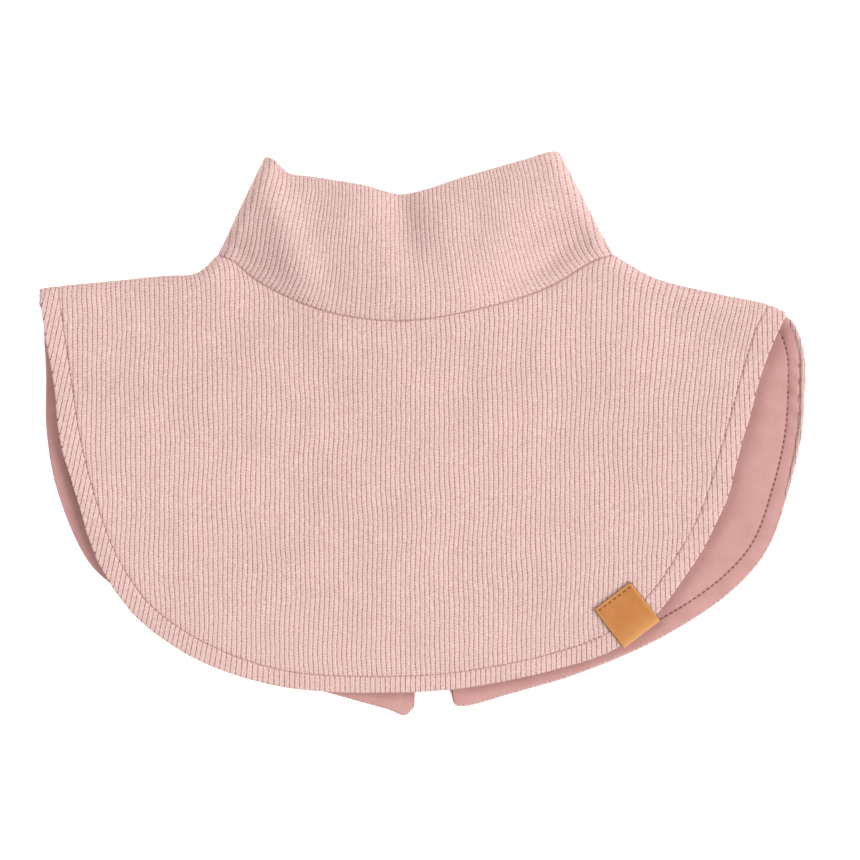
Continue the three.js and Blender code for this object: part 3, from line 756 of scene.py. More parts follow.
@dataclass(frozen=True)
class BrushedJersey(Finish):
    """Cotton jersey with a brushed face: even, matt and softer than the rib knit, with fine upright wales."""

    face: str = "BA918D"
    deep: str = "AA7F7A"
    wale: float = 0.8

    def build(self, tree: bpy.types.NodeTree) -> None:
        """Adds fine wales on the UV map, cloudy nap, fuzz and painted shade along the stitch line."""
        uv = node(tree, "UVMap", {"uv_map": "knit"})
        split = node(tree, "SeparateXYZ", links={0: uv.outputs[0]})
        hem = node(tree, "Attribute", {"attribute_name": "hem"})
        wales = node(tree, "Math", {"operation": "DIVIDE"}, {0: split.outputs[0], 1: self.wale * MM})
        ridge = node(tree, "Math", {"operation": "PINGPONG"}, {0: wales.outputs[0], 1: 0.5})
        place = node(tree, "TexCoord")
        fuzz = node(
            tree,
            "TexNoise",
            {},
            {"Vector": place.outputs["Object"], "Scale": 700.0, "Detail": 3.0, "Roughness": 0.7},
        )
        nap = node(
            tree,
            "TexNoise",
            {},
            {"Vector": place.outputs["Object"], "Scale": 90.0, "Detail": 4.0, "Roughness": 0.6},
        )
        clouds = node(tree, "MapRange", {}, {0: nap.outputs[0], 1: 0.35, 2: 0.7, 3: 0.0, 4: 0.55})
        body = node(tree, "Mix", COLOURS, {0: clouds.outputs[0], 6: linear(self.face), 7: linear(self.deep)})
        # Painted shade: the jersey is coloured darker along its stitched line
        away = node(tree, "Math", {"operation": "ABSOLUTE"}, {0: hem.outputs["Fac"]})
        stitch_line_shade = node(tree, "MapRange", SOFT_STEP, {0: away.outputs[0], 1: 0.1, 2: 1.0, 3: 0.78, 4: 1.0})
        ridges = node(tree, "MapRange", {}, {0: ridge.outputs[0], 1: 0.0, 2: 0.5, 3: 0.985, 4: 1.01})
        tone = node(tree, "Math", TIMES, {0: stitch_line_shade.outputs[0], 1: ridges.outputs[0]})
        colour = node(tree, "VectorMath", SCALE, {0: body.outputs[2], "Scale": tone.outputs[0]})
        height = node(tree, "Math", {"operation": "MULTIPLY_ADD"}, {0: ridge.outputs[0], 1: 0.25, 2: fuzz.outputs[0]})
        bump = node(tree, "Bump", {}, {"Height": height.outputs[0], "Distance": 0.2 * MM, "Strength": 0.6})
        shader = node(
            tree,
            "BsdfPrincipled",
            {},
            {
                "Base Color": colour.outputs[0],
                "Roughness": 0.95,
                "Sheen Weight": 0.06,
                "Sheen Roughness": 0.5,
                "Sheen Tint": linear("FFCFC8"),
                "Specular IOR Level": 0.12,
                "Normal": bump.outputs[0],
            },
        )
        node(tree, "OutputMaterial", {}, {0: shader.outputs[0]})


@dataclass(frozen=True)
class StrapLeather(Finish):
    """Vegetable-tanned strap leather: warm tan, fine grain, dull gloss, darker where it is cut."""

    face: str = "A5692F"
    dark: str = "7E4517"
    pale: str = "B07439"
    # pale colour of the painted highlight along the rim, also used for the fold that is lighter from rubbing
    highlight_and_rubbed: str = "C79355"

    def build(self, tree: bpy.types.NodeTree) -> None:
        """Adds grain, cloudy tanning, burnished cut edges, a painted highlight along the rim beside them, and a fold
        that is lighter from rubbing.
        """
        place = node(tree, "TexCoord")
        edge = node(tree, "Attribute", {"attribute_name": "edge"})
        grain = node(
            tree,
            "TexVoronoi",
            {"feature": "DISTANCE_TO_EDGE"},
            {"Vector": place.outputs["Object"], "Scale": 1500.0},
        )
        cloud = node(
            tree,
            "TexNoise",
            {},
            {"Vector": place.outputs["Object"], "Scale": 160.0, "Detail": 5.0, "Roughness": 0.6},
        )
        fine = node(tree, "TexNoise", {}, {"Vector": place.outputs["Object"], "Scale": 1400.0, "Detail": 3.0})
        blotch = node(tree, "MapRange", {}, {0: cloud.outputs[0], 1: 0.35, 2: 0.68, 3: 0.0, 4: 1.0})
        body = node(tree, "Mix", COLOURS, {0: blotch.outputs[0], 6: linear(self.face), 7: linear(self.pale)})
        worn = node(tree, "Attribute", {"attribute_name": "worn"})
        # Painted highlight: a pale band just inside the cut edges, where the bevelled rim catches light
        highlight_and_rubbed = node(tree, "MapRange", SOFT_STEP, {0: edge.outputs["Fac"], 1: 0.35, 2: 1.3, 3: 0.6, 4: 0.0})
        highlight_and_rubbed = node(tree, "Math", LARGER, {0: highlight_and_rubbed.outputs[0], 1: worn.outputs["Fac"]})
        light = node(tree, "Mix", COLOURS, {0: highlight_and_rubbed.outputs[0], 6: body.outputs[2], 7: linear(self.highlight_and_rubbed)})
        burnish = node(tree, "MapRange", SOFT_STEP, {0: edge.outputs["Fac"], 1: 0.02, 2: 0.35, 3: 0.85, 4: 0.0})
        rim = node(tree, "Mix", COLOURS, {0: burnish.outputs[0], 6: light.outputs[2], 7: linear(self.dark)})
        height = node(tree, "Math", {"operation": "MULTIPLY_ADD"}, {0: grain.outputs[0], 1: 1.5, 2: fine.outputs[0]})
        bump = node(tree, "Bump", {}, {"Height": height.outputs[0], "Distance": 0.12 * MM, "Strength": 0.55})
        gloss = node(tree, "MapRange", {}, {0: fine.outputs[0], 1: 0.3, 2: 0.7, 3: 0.42, 4: 0.62})
        shader = node(
            tree,
            "BsdfPrincipled",
            {},
            {
                "Base Color": rim.outputs[2],
                "Roughness": gloss.outputs[0],
                "Specular IOR Level": 0.4,
                "Normal": bump.outputs[0],
            },
        )
        node(tree, "OutputMaterial", {}, {0: shader.outputs[0]})


@dataclass(frozen=True)
class SewingThread(Finish):
    """Spun polyester sewing thread: a fine twist with a faint gloss."""

    colour: str = "B98682"
    twist: float = 0.35

    def build(self, tree: bpy.types.NodeTree) -> None:
        """Adds the twist and a little uneven dye."""
        place = node(tree, "TexCoord")
        wave = node(
            tree,
            "TexWave",
            {"bands_direction": "DIAGONAL"},
            {"Vector": place.outputs["Object"], "Scale": 0.3 / (self.twist * MM), "Distortion": 1.0},
        )
        tone = node(tree, "MapRange", {}, {0: wave.outputs["Fac"], 1: 0.0, 2: 1.0, 3: 0.8, 4: 1.1})
        colour = node(tree, "VectorMath", SCALE, {0: linear(self.colour)[:3], "Scale": tone.outputs[0]})
        bump = node(tree, "Bump", {}, {"Height": wave.outputs["Fac"], "Distance": 0.06 * MM, "Strength": 0.5})
        shader = node(
            tree,
            "BsdfPrincipled",
            {},
            {"Base Color": colour.outputs[0], "Roughness": 0.7, "Normal": bump.outputs[0]},
        )
        node(tree, "OutputMaterial", {}, {0: shader.outputs[0]})


@dataclass(frozen=True)
class HookAndLoop(Finish):
    """Woven nylon hook-and-loop tape: rows of tiny loops, matt with a slight glint."""

    colour: str = "DBB6B0"
    rows: float = 1.1

    def build(self, tree: bpy.types.NodeTree) -> None:
        """Adds rows of loops as cells."""
        place = node(tree, "TexCoord")
        loops = node(
            tree,
            "TexVoronoi",
            {},
            {"Vector": place.outputs["Object"], "Scale": 1 / (self.rows * MM), "Randomness": 0.45},
        )
        tone = node(tree, "MapRange", {}, {0: loops.outputs["Distance"], 1: 0.0, 2: 0.6, 3: 1.08, 4: 0.7})
        colour = node(tree, "VectorMath", SCALE, {0: linear(self.colour)[:3], "Scale": tone.outputs[0]})
        bump = node(
            tree,
            "Bump",
            {"invert": True},
            {"Height": loops.outputs["Distance"], "Distance": 0.4 * MM, "Strength": 0.8},
        )
        shader = node(
            tree,
            "BsdfPrincipled",
            {},
            {"Base Color": colour.outputs[0], "Roughness": 0.8, "Normal": bump.outputs[0]},
        )
        node(tree, "OutputMaterial", {}, {0: shader.outputs[0]})


@dataclass(frozen=True)
class LitTable(Finish):
    """Matt white acrylic of a lit product table."""

    colour: str = "FBFAFA"
    glow: float = 0.5

    def build(self, tree: bpy.types.NodeTree) -> None:
        """Adds a plain matt white with a very faint unevenness and its own soft light."""
        place = node(tree, "TexCoord")
        cloud = node(tree, "TexNoise", {}, {"Vector": place.outputs["Object"], "Scale": 3.0})
        tone = node(tree, "MapRange", {}, {0: cloud.outputs[0], 1: 0.0, 2: 1.0, 3: 0.995, 4: 1.0})
        colour = node(tree, "VectorMath", SCALE, {0: linear(self.colour)[:3], "Scale": tone.outputs[0]})
        shader = node(
            tree,
            "BsdfPrincipled",
            {},
            {
                "Base Color": colour.outputs[0],
                "Roughness": 0.9,
                "Specular IOR Level": 0.1,
                "Emission Color": linear("FFFFFF"),
                "Emission Strength": self.glow,
            },
        )
        node(tree, "OutputMaterial", {}, {0: shader.outputs[0]})


@dataclass
class Wardrobe:
    """The materials, each made once."""

    knit: bpy.types.Material = field(default_factory=lambda: CottonRibKnit("cotton_rib_knit").material())
    jersey: bpy.types.Material = field(default_factory=lambda: BrushedJersey("brushed_jersey").material())
    leather: bpy.types.Material = field(default_factory=lambda: StrapLeather("tanned_strap_leather").material())
    tape: bpy.types.Material = field(default_factory=lambda: HookAndLoop("hook_and_loop_tape").material())
    # The front thread is darker than the knit's pink: its colour carries painted shade of the stitch holes
    front_thread: bpy.types.Material = field(default_factory=lambda: SewingThread("pink_thread", "9E6764").material())
    lining_thread: bpy.types.Material = field(
        default_factory=lambda: SewingThread("deep_pink_thread", "8A4547").material()
    )
    label_thread: bpy.types.Material = field(default_factory=lambda: SewingThread("brown_thread", "6E3F1C").material())


def sewn_line(name: str, places: Array, ahead: Array, up: Array, long: float, thick: float) -> bpy.types.Object:
    """Lays a row of single stitches, each a small rounded bar.

    Args:
        name: the piece's name.
        places: the middle of each stitch, in mm.
        ahead: the direction each one runs in.
        up: the cloth's normal there.
        long: a stitch's length.
        thick: the thread's width.

    Returns:
        All the stitches as one object.
    """
    ring = np.linspace(0, 2 * np.pi, 6, endpoint=False)
    stations = ((-0.5, 0.35, -0.5), (-0.36, 0.9, 0.0), (0.0, 1.0, 0.12), (0.36, 0.9, 0.0), (0.5, 0.35, -0.5))
    side = unit(np.cross(up, ahead))
    blocks = []
    for place, along, beside, above in zip(places, ahead, side, up):
        rows = [
            place
            + along * (share * long)
            + above * (rise * thick)
            + (np.cos(ring)[:, None] * beside + np.sin(ring)[:, None] * above) * (thick / 2 * width)
            for share, width, rise in stations
        ]
        tips = [np.repeat(rows[k].mean(0)[None], 6, axis=0) for k in (0, -1)]
        grid = np.array([tips[0], *rows, tips[1]])
        grid = np.concatenate([grid, grid[:, :1]], axis=1)
        blocks.append(Block(grid, grid[..., 0], grid[..., 1], flip=True))
    return cloth_object(name, blocks, weld=0.004)


def dress(piece: bpy.types.Object, material: bpy.types.Material, nodes: Sequence[str]) -> bpy.types.Object:
    """Finishes a piece.

    Args:
        piece: the piece.
        material: what it is made of.
        nodes: the CAD nodes that it stands for.

    Returns:
        The piece.
    """
    piece.data.materials.append(material)
    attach(piece, "root")
    if nodes:
        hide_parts(*nodes)
    log.info("%s: %d faces", piece.name, len(piece.data.polygons))
    return piece


@dataclass
class FrontPanel:
    """The front of the yoke: rib knit, its edge turned under and topstitched."""

    pattern: Pattern
    lie: Lie
    ribs: RibStitch = field(default_factory=RibStitch)
    rows: tuple[int, int, int] = (9, 56, 24)
    face: float = 1.3
    under: float = -1.0
    stitch_in: tuple[float, float] = (7.5, 8.8)
    stitch_pitch: float = 2.75
    band_pitch: float = 2.5
    band_lean: tuple[float, float] = (12.0, 2.0)
    band_level: float = -188.0
    flat_size: tuple[float, float] = (0.375, 0.225)
    flat_area: float = 0.0605

    def stitch_distance(self, x: Array) -> Array:
        """How far the topstitching is from the edge: less along the bottom than at the sides."""
        low, high = self.stitch_in
        return low + (high - low) * smooth((np.abs(x) - 60) / 70)

    def columns(self) -> tuple[Array, Array, Array]:
        """Runs the ribs from the shoulders and the neck seam to the hem.

        Returns:
            The points in the plane, each one's rib coordinate, and its distance below the top.
        """
        tips = [self.pattern.shoulder[side].at(1.0)[0] for side in Side]
        u = self.ribs.columns(tips[0], tips[1])
        top = Outline(np.vstack([
            self.pattern.shoulder[Side.LEFT].line[::-1],
            self.pattern.front_neck.line[1:-1],
            self.pattern.shoulder[Side.RIGHT].line,
        ]), steps=1)  # fmt: skip
        pull = 10.0 * bell(u - 140, 42) - 3.0 * bell(u + 92, 22)
        fade = np.where(u > 0, 27.0, 10.0)
        head_x = np.clip(u + pull, tips[0], tips[1])
        head = top.level(head_x)
        rough = head - self.pattern.front_hem.level(u)
        foot_x = np.clip(u + pull * np.exp(-rough / fade), tips[0], tips[1])
        foot = self.pattern.front_hem.level(foot_x)
        foot[[0, -1]] = head[[0, -1]]
        down = spread(7.0, 17.0, self.rows, head - foot)
        x = u + pull * np.exp(-down / fade)
        x = x + self.ribs.wander(u, down) * smooth(down / 8)
        x = np.clip(x, tips[0], tips[1])
        return np.stack([x, head - down], axis=-1), np.broadcast_to(u, x.shape), down

    def build(self) -> bpy.types.Object:
        """Makes the knit face with its rolled edge.

        Returns:
            The panel.
        """
        plane, u, down = self.columns()
        middle = lay(plane, self.lie.upper(plane))
        normals = grid_normals(middle, 1)
        normals[:, 0], normals[:, -1] = normals[:, 2], normals[:, -3]
        tangent = unit(np.gradient(plane[0], axis=0))
        on_fold = np.abs(plane[0, :, 0]) >= self.pattern.neck_half
        outward = np.stack([-tangent[:, 1], tangent[:, 0], np.full(len(tangent), 0.05)], axis=-1)
        normals[0, on_fold] = unit(outward)[on_fold]
        edge, along = self.pattern.front_hem.near(plane)
        line = self.stitch_distance(plane[..., 0])
        hem = edge - line
        lean = np.where(plane[..., 0] < 0, self.band_lean[0], -self.band_lean[1])
        slant = np.tan(np.radians(lean)) * smooth((np.abs(plane[..., 0]) - 60) / 60)
        band = (plane[..., 0] - slant * (plane[..., 1] - self.band_level)) / self.band_pitch
        in_band = smooth(-hem / 0.6)
        relief = self.ribs.relief(u / self.ribs.pitch) * (1 - in_band)
        tack = 0.5 + 0.5 * np.cos(2 * np.pi * along / self.stitch_pitch)
        relief -= (0.34 + 0.22 * tack) * bell(hem, 0.6)
        relief += 0.16 * bell(edge - line * 0.5, 3.0) + 0.08 * bell(hem - 2.6, 1.6)
        seam_away, _ = self.pattern.front_neck.near(plane)
        relief += 0.3 * bell(seam_away - 3.2, 2.0) - 0.4 * bell(seam_away, 0.6)
        offset = self.face + relief
        outside = middle + normals * offset[..., None]
        foot_way = unit(np.gradient(plane[-1], axis=0))
        out = np.stack([foot_way[:, 1], -foot_way[:, 0], np.zeros(len(foot_way))], axis=-1)
        out[0], out[-1] = (-1, 0, 0), (1, 0, 0)
        ribs_here = self.ribs.relief(u[-1] / self.ribs.pitch) * 0.7
        rim = []
        for turn in np.linspace(0.0, np.pi, 8)[1:]:
            lift = (self.face + self.under) / 2 + (self.face - self.under) / 2 * math.cos(turn)
            reach = 0.75 * math.sin(turn) + ribs_here * math.sin(turn) * 0.8
            rim.append(middle[-1] + normals[-1] * lift + out * np.asarray(reach)[:, None])
        rim.append(middle[-1] - out * 2.6 + normals[-1] * -0.2)
        points = np.concatenate([outside, np.array(rim)])
        pad = len(rim)
        marks = {
            "hem": np.vstack([hem, np.repeat(hem[-1:], pad, axis=0)]),
            "band": np.vstack([band, np.repeat(band[-1:], pad, axis=0)]),
            "seam": np.vstack([seam_away, np.repeat(seam_away[-1:], pad, axis=0)]),
        }
        across = np.vstack([u, np.repeat(u[-1:], pad, axis=0)])
        block = Block(points, across, -np.vstack([down, np.repeat(down[-1:], pad, axis=0)]), marks)
        return cloth_object("front_panel_knit", [block])

    def stitches(self) -> bpy.types.Object:
        """Makes the topstitching along the hem.

        Returns:
            The stitches.
        """
        hem = self.pattern.front_hem
        places = np.arange(9.0, hem.reach[-1] - 9.0, 0.5) / hem.reach[-1]
        p, q = hem.at(places), hem.at(places + 0.0008)
        way = unit(q - p)
        inward = np.stack([-way[:, 1], way[:, 0]], axis=-1)
        line = p + inward * self.stitch_distance(p[:, 0])[:, None]
        step = np.concatenate([[0.0], np.cumsum(np.linalg.norm(np.diff(line, axis=0), axis=1))])
        at = np.arange(self.stitch_pitch / 2, step[-1], self.stitch_pitch)
        flat = np.stack([np.interp(at, step, line[:, k]) for k in (0, 1)], axis=-1)
        middle = lay(flat, self.lie.upper(flat))
        ahead = unit(np.gradient(middle, axis=0))
        side = np.stack([-ahead[:, 1], ahead[:, 0], np.zeros(len(ahead))], axis=-1)
        up = unit(np.cross(ahead, side))
        return sewn_line("front_topstitch", middle + up * (self.face - 0.42), ahead, up, 1.9, 0.42)

    def dress(self, wardrobe: Wardrobe) -> list[bpy.types.Object]:
        """Builds and finishes the panel.

        Args:
            wardrobe: the materials.

        Returns:
            Its pieces.
        """
        panel = dress(self.build(), wardrobe.knit, ["front_panel"])
        thread = dress(self.stitches(), wardrobe.front_thread, [])
        return [panel, thread]


@dataclass
class Lining:
    """A jersey lining, sewn inside a rib knit panel."""

    name: str
    node_name: str
    points: Array
    way: int
    hem: Outline
    rests_on: str
    flat_size: tuple[float, float]
    flat_area: float
    stitch_in: float = 8.0
    stitch_pitch: float = 2.75
    stitch_end: float = 10.0
    puckers: tuple[tuple[float, float], ...] = ()

    def build(self) -> tuple[bpy.types.Object, bpy.types.Object]:
        """Makes the lining and its stitches.

        Returns:
            The lining and the row of stitches.
        """
        normals = grid_normals(self.points, self.way)
        edge, along = self.hem.near(self.points)
        hem = np.where(along < self.hem.reach[-1] - self.stitch_end, edge - self.stitch_in, 99.0)
        tack = 0.5 + 0.5 * np.cos(2 * np.pi * along / self.stitch_pitch)
        relief = (0.3 + 0.15 * tack) * bell(hem, 0.9) - 0.3 * bell(edge - 3.8, 2.6)
        for place, height in self.puckers:
            relief -= height * bell(along + 0.7 * (edge - 4.0) - place, 2.0) * bell(edge - 4.0, 4.0)
        inner = -1.3 + relief
        outer = np.full_like(inner, -0.35)
        blocks = shell(self.points, normals, outer, inner, draw_in=0.4, bulge=0.3)
        for block in blocks[:2]:
            block.marks = {"hem": hem}
        if self.way < 0:
            for block in blocks:
                block.flip = not block.flip
        lining = cloth_object(self.name, blocks, weld=0.01)
        places = np.arange(10.0, self.hem.reach[-1] - self.stitch_end, 0.5) / self.hem.reach[-1]
        middle = self.points[..., :2].reshape(-1, 2).mean(0)
        line = self.hem.at(places) + self.hem.inward(places, middle) * self.stitch_in
        step = np.concatenate([[0.0], np.cumsum(np.linalg.norm(np.diff(line, axis=0), axis=1))])
        at = np.arange(self.stitch_pitch / 2, step[-1], self.stitch_pitch)
        flat = np.stack([np.interp(at, step, line[:, k]) for k in (0, 1)], axis=-1)
        grid = self.points.reshape(-1, 3)
        flat_normals = normals.reshape(-1, 3)
        level, up = np.empty(len(flat)), np.empty((len(flat), 3))
        for k, spot in enumerate(flat):
            away = ((grid[:, :2] - spot) ** 2).sum(1)
            four = np.argsort(away)[:4]
            weight = 1 / (away[four] + 1e-3)
            level[k] = (grid[four, 2] * weight).sum() / weight.sum()
            up[k] = -unit((flat_normals[four] * weight[:, None]).sum(0))
        places3 = lay(flat, level) + up * 1.12
        ahead3 = unit(np.gradient(places3, axis=0))
        return lining, sewn_line(self.name + "_topstitch", places3, ahead3, up, 1.9, 0.62)

    def dress(self, wardrobe: Wardrobe) -> list[bpy.types.Object]:
        """Builds and finishes the lining.

        Args:
            wardrobe: the materials.

        Returns:
            Its pieces.
        """
        lining, thread = self.build()
        dress(lining, wardrobe.jersey, [self.node_name])
        dress(thread, wardrobe.lining_thread, [])
        return [lining, thread]


@dataclass
class BackPanel:
    """A back panel: rib knit on the table, with its jersey lining on top."""

    pattern: Pattern
    lie: Lie
    side: Side
    columns: int = 150
    rows: int = 64
    curl: float = 0.9
    rim: float = 2.7
    flat_size: tuple[float, float] = (0.2, 0.22)
    flat_area: float = 0.031
    ribs: RibStitch = field(default_factory=RibStitch)
    # Where along the right hem the seam allowance bunches up, and how much
    puckers: tuple[tuple[float, float], ...] = ((26.0, 0.9), (34.0, 1.3), (42.0, 1.7), (51.0, 1.2), (62.0, 0.7))

    def middle(self) -> Array:
        """The middle of the cloth, from the shoulder tip to the edge at the centre back."""
        shoulder, hem = self.pattern.shoulder[self.side], self.pattern.back_hem[self.side]
        s = np.linspace(0, 1, self.columns // 2 + 1)
        neck = self.pattern.back_neck(self.side, (1 - np.cos(np.pi * s[1:])) / 2)
        top = np.vstack([shoulder.at(1 - (1 - np.cos(np.pi * s)) / 2), neck])
        across = length_shares(top)
        down = (1 - np.cos(np.pi * np.linspace(0, 1, self.rows))) / 2 * 0.75 + np.linspace(0, 1, self.rows) * 0.25
        corner = 0.3 if self.side is Side.LEFT else 0.315
        centre = top[-1] + (hem.at(1.0) - top[-1]) * down[:, None]
        grid = patch(top, hem.at(corner + (1 - corner) * across), hem.at(corner * down), centre, across, down)
        return lay(grid, self.height(grid))

    def height(self, p: Array) -> Array:
        """Height of the middle of the cloth."""
        edge, _ = self.pattern.back_hem[self.side].near(p)
        raised = self.curl * (1 - smooth(edge / self.lie.curl_reach))
        if self.side is Side.RIGHT:
            start = self.pattern.back_neck(Side.LEFT, np.array(1.0))
            end = self.pattern.back_hem[Side.LEFT].at(1.0)
            other = start[0] + (end[0] - start[0]) * (p[..., 1] - start[1]) / (end[1] - start[1])
            below = np.maximum(0, -self.pattern.back_neck_drop - p[..., 1])
            more = self.lie.collar_lift - self.lie.panel_lift
            lift = self.lie.panel_lift + more * np.exp(-below / self.lie.lift_fade)
            raised = raised + self.lie.step(p[..., 0], other, lift)
        return self.lie.lower(p, 0.0, raised)

    def rolled(self, along: Array) -> Array:
        """How much of the knit's rim shows beside the lining, at a distance from the shoulder tip along the hem."""
        return smooth(along / 8) * (0.2 + 0.8 * smooth((118 - along) / 50))

    def drawn_in(self, points: Array) -> Array:
        """Draws the lining's free edge in.

        Args:
            points: the middle of the panel's cloth.

        Returns:
            The same grid, narrower where the knit's rim shows.
        """
        hem = self.pattern.back_hem[self.side]
        edge, along = hem.near(points)
        way = hem.inward(along / hem.reach[-1], points[..., :2].reshape(-1, 2).mean(0))
        moved = points.copy()
        moved[..., :2] += way * (self.rim * self.rolled(along) * np.clip(1 - edge / 12, 0, 1) ** 2)[..., None]
        return moved

    def build(self) -> tuple[bpy.types.Object, Array]:
        """Makes the rib knit side.

        Returns:
            The knit panel and the middle of its cloth.
        """
        points = self.middle()
        way = -1 if self.side is Side.LEFT else 1
        normals = grid_normals(points, way)
        edge, along = self.pattern.back_hem[self.side].near(points)
        hem = edge - 8.0
        relief = self.ribs.relief(points[..., 0] / self.ribs.pitch) * 0.4 - 0.5 * bell(hem, 0.9)
        roll = self.rolled(along) * self.rim / 2.7
        scallops = 0.5 + 0.5 * np.cos(2 * np.pi * along / 2.6)
        inner = -0.05 - roll * (0.8 + 0.25 * scallops) * (1 - smooth((edge - 0.8) / 1.6))
        blocks = shell(points, normals, 1.3 + relief, inner, bulge=0.45 + roll * 0.4 * scallops)
        for block in blocks:
            block.marks = {"hem": np.full(block.points.shape[:2], 99.0), "seam": np.full(block.points.shape[:2], 99.0)}
        blocks[0].marks["hem"] = np.abs(hem)
        if way < 0:
            for block in blocks:
                block.flip = not block.flip
        return cloth_object(f"back_panel_{self.side.name.lower()}_knit", blocks, weld=0.01), points

    def dress(self, wardrobe: Wardrobe) -> list[bpy.types.Object]:
        """Builds and finishes the panel and its lining.

        Args:
            wardrobe: the materials.

        Returns:
            Its pieces.
        """
        side = self.side.name.lower()
        knit, points = self.build()
        dress(knit, wardrobe.knit, [f"back_panel_{side}"])
        lining = Lining(
            name=f"back_lining_{side}_jersey",
            node_name=f"back_lining_{side}",
            points=self.drawn_in(points),
            way=-1 if self.side is Side.LEFT else 1,
            hem=self.pattern.back_hem[self.side],
            rests_on=knit.name,
            flat_size=self.flat_size,
            flat_area=self.flat_area,
            stitch_end=36.0,
            puckers=self.puckers if self.side is Side.RIGHT else (),
        )
        return [knit, *lining.dress(wardrobe)]


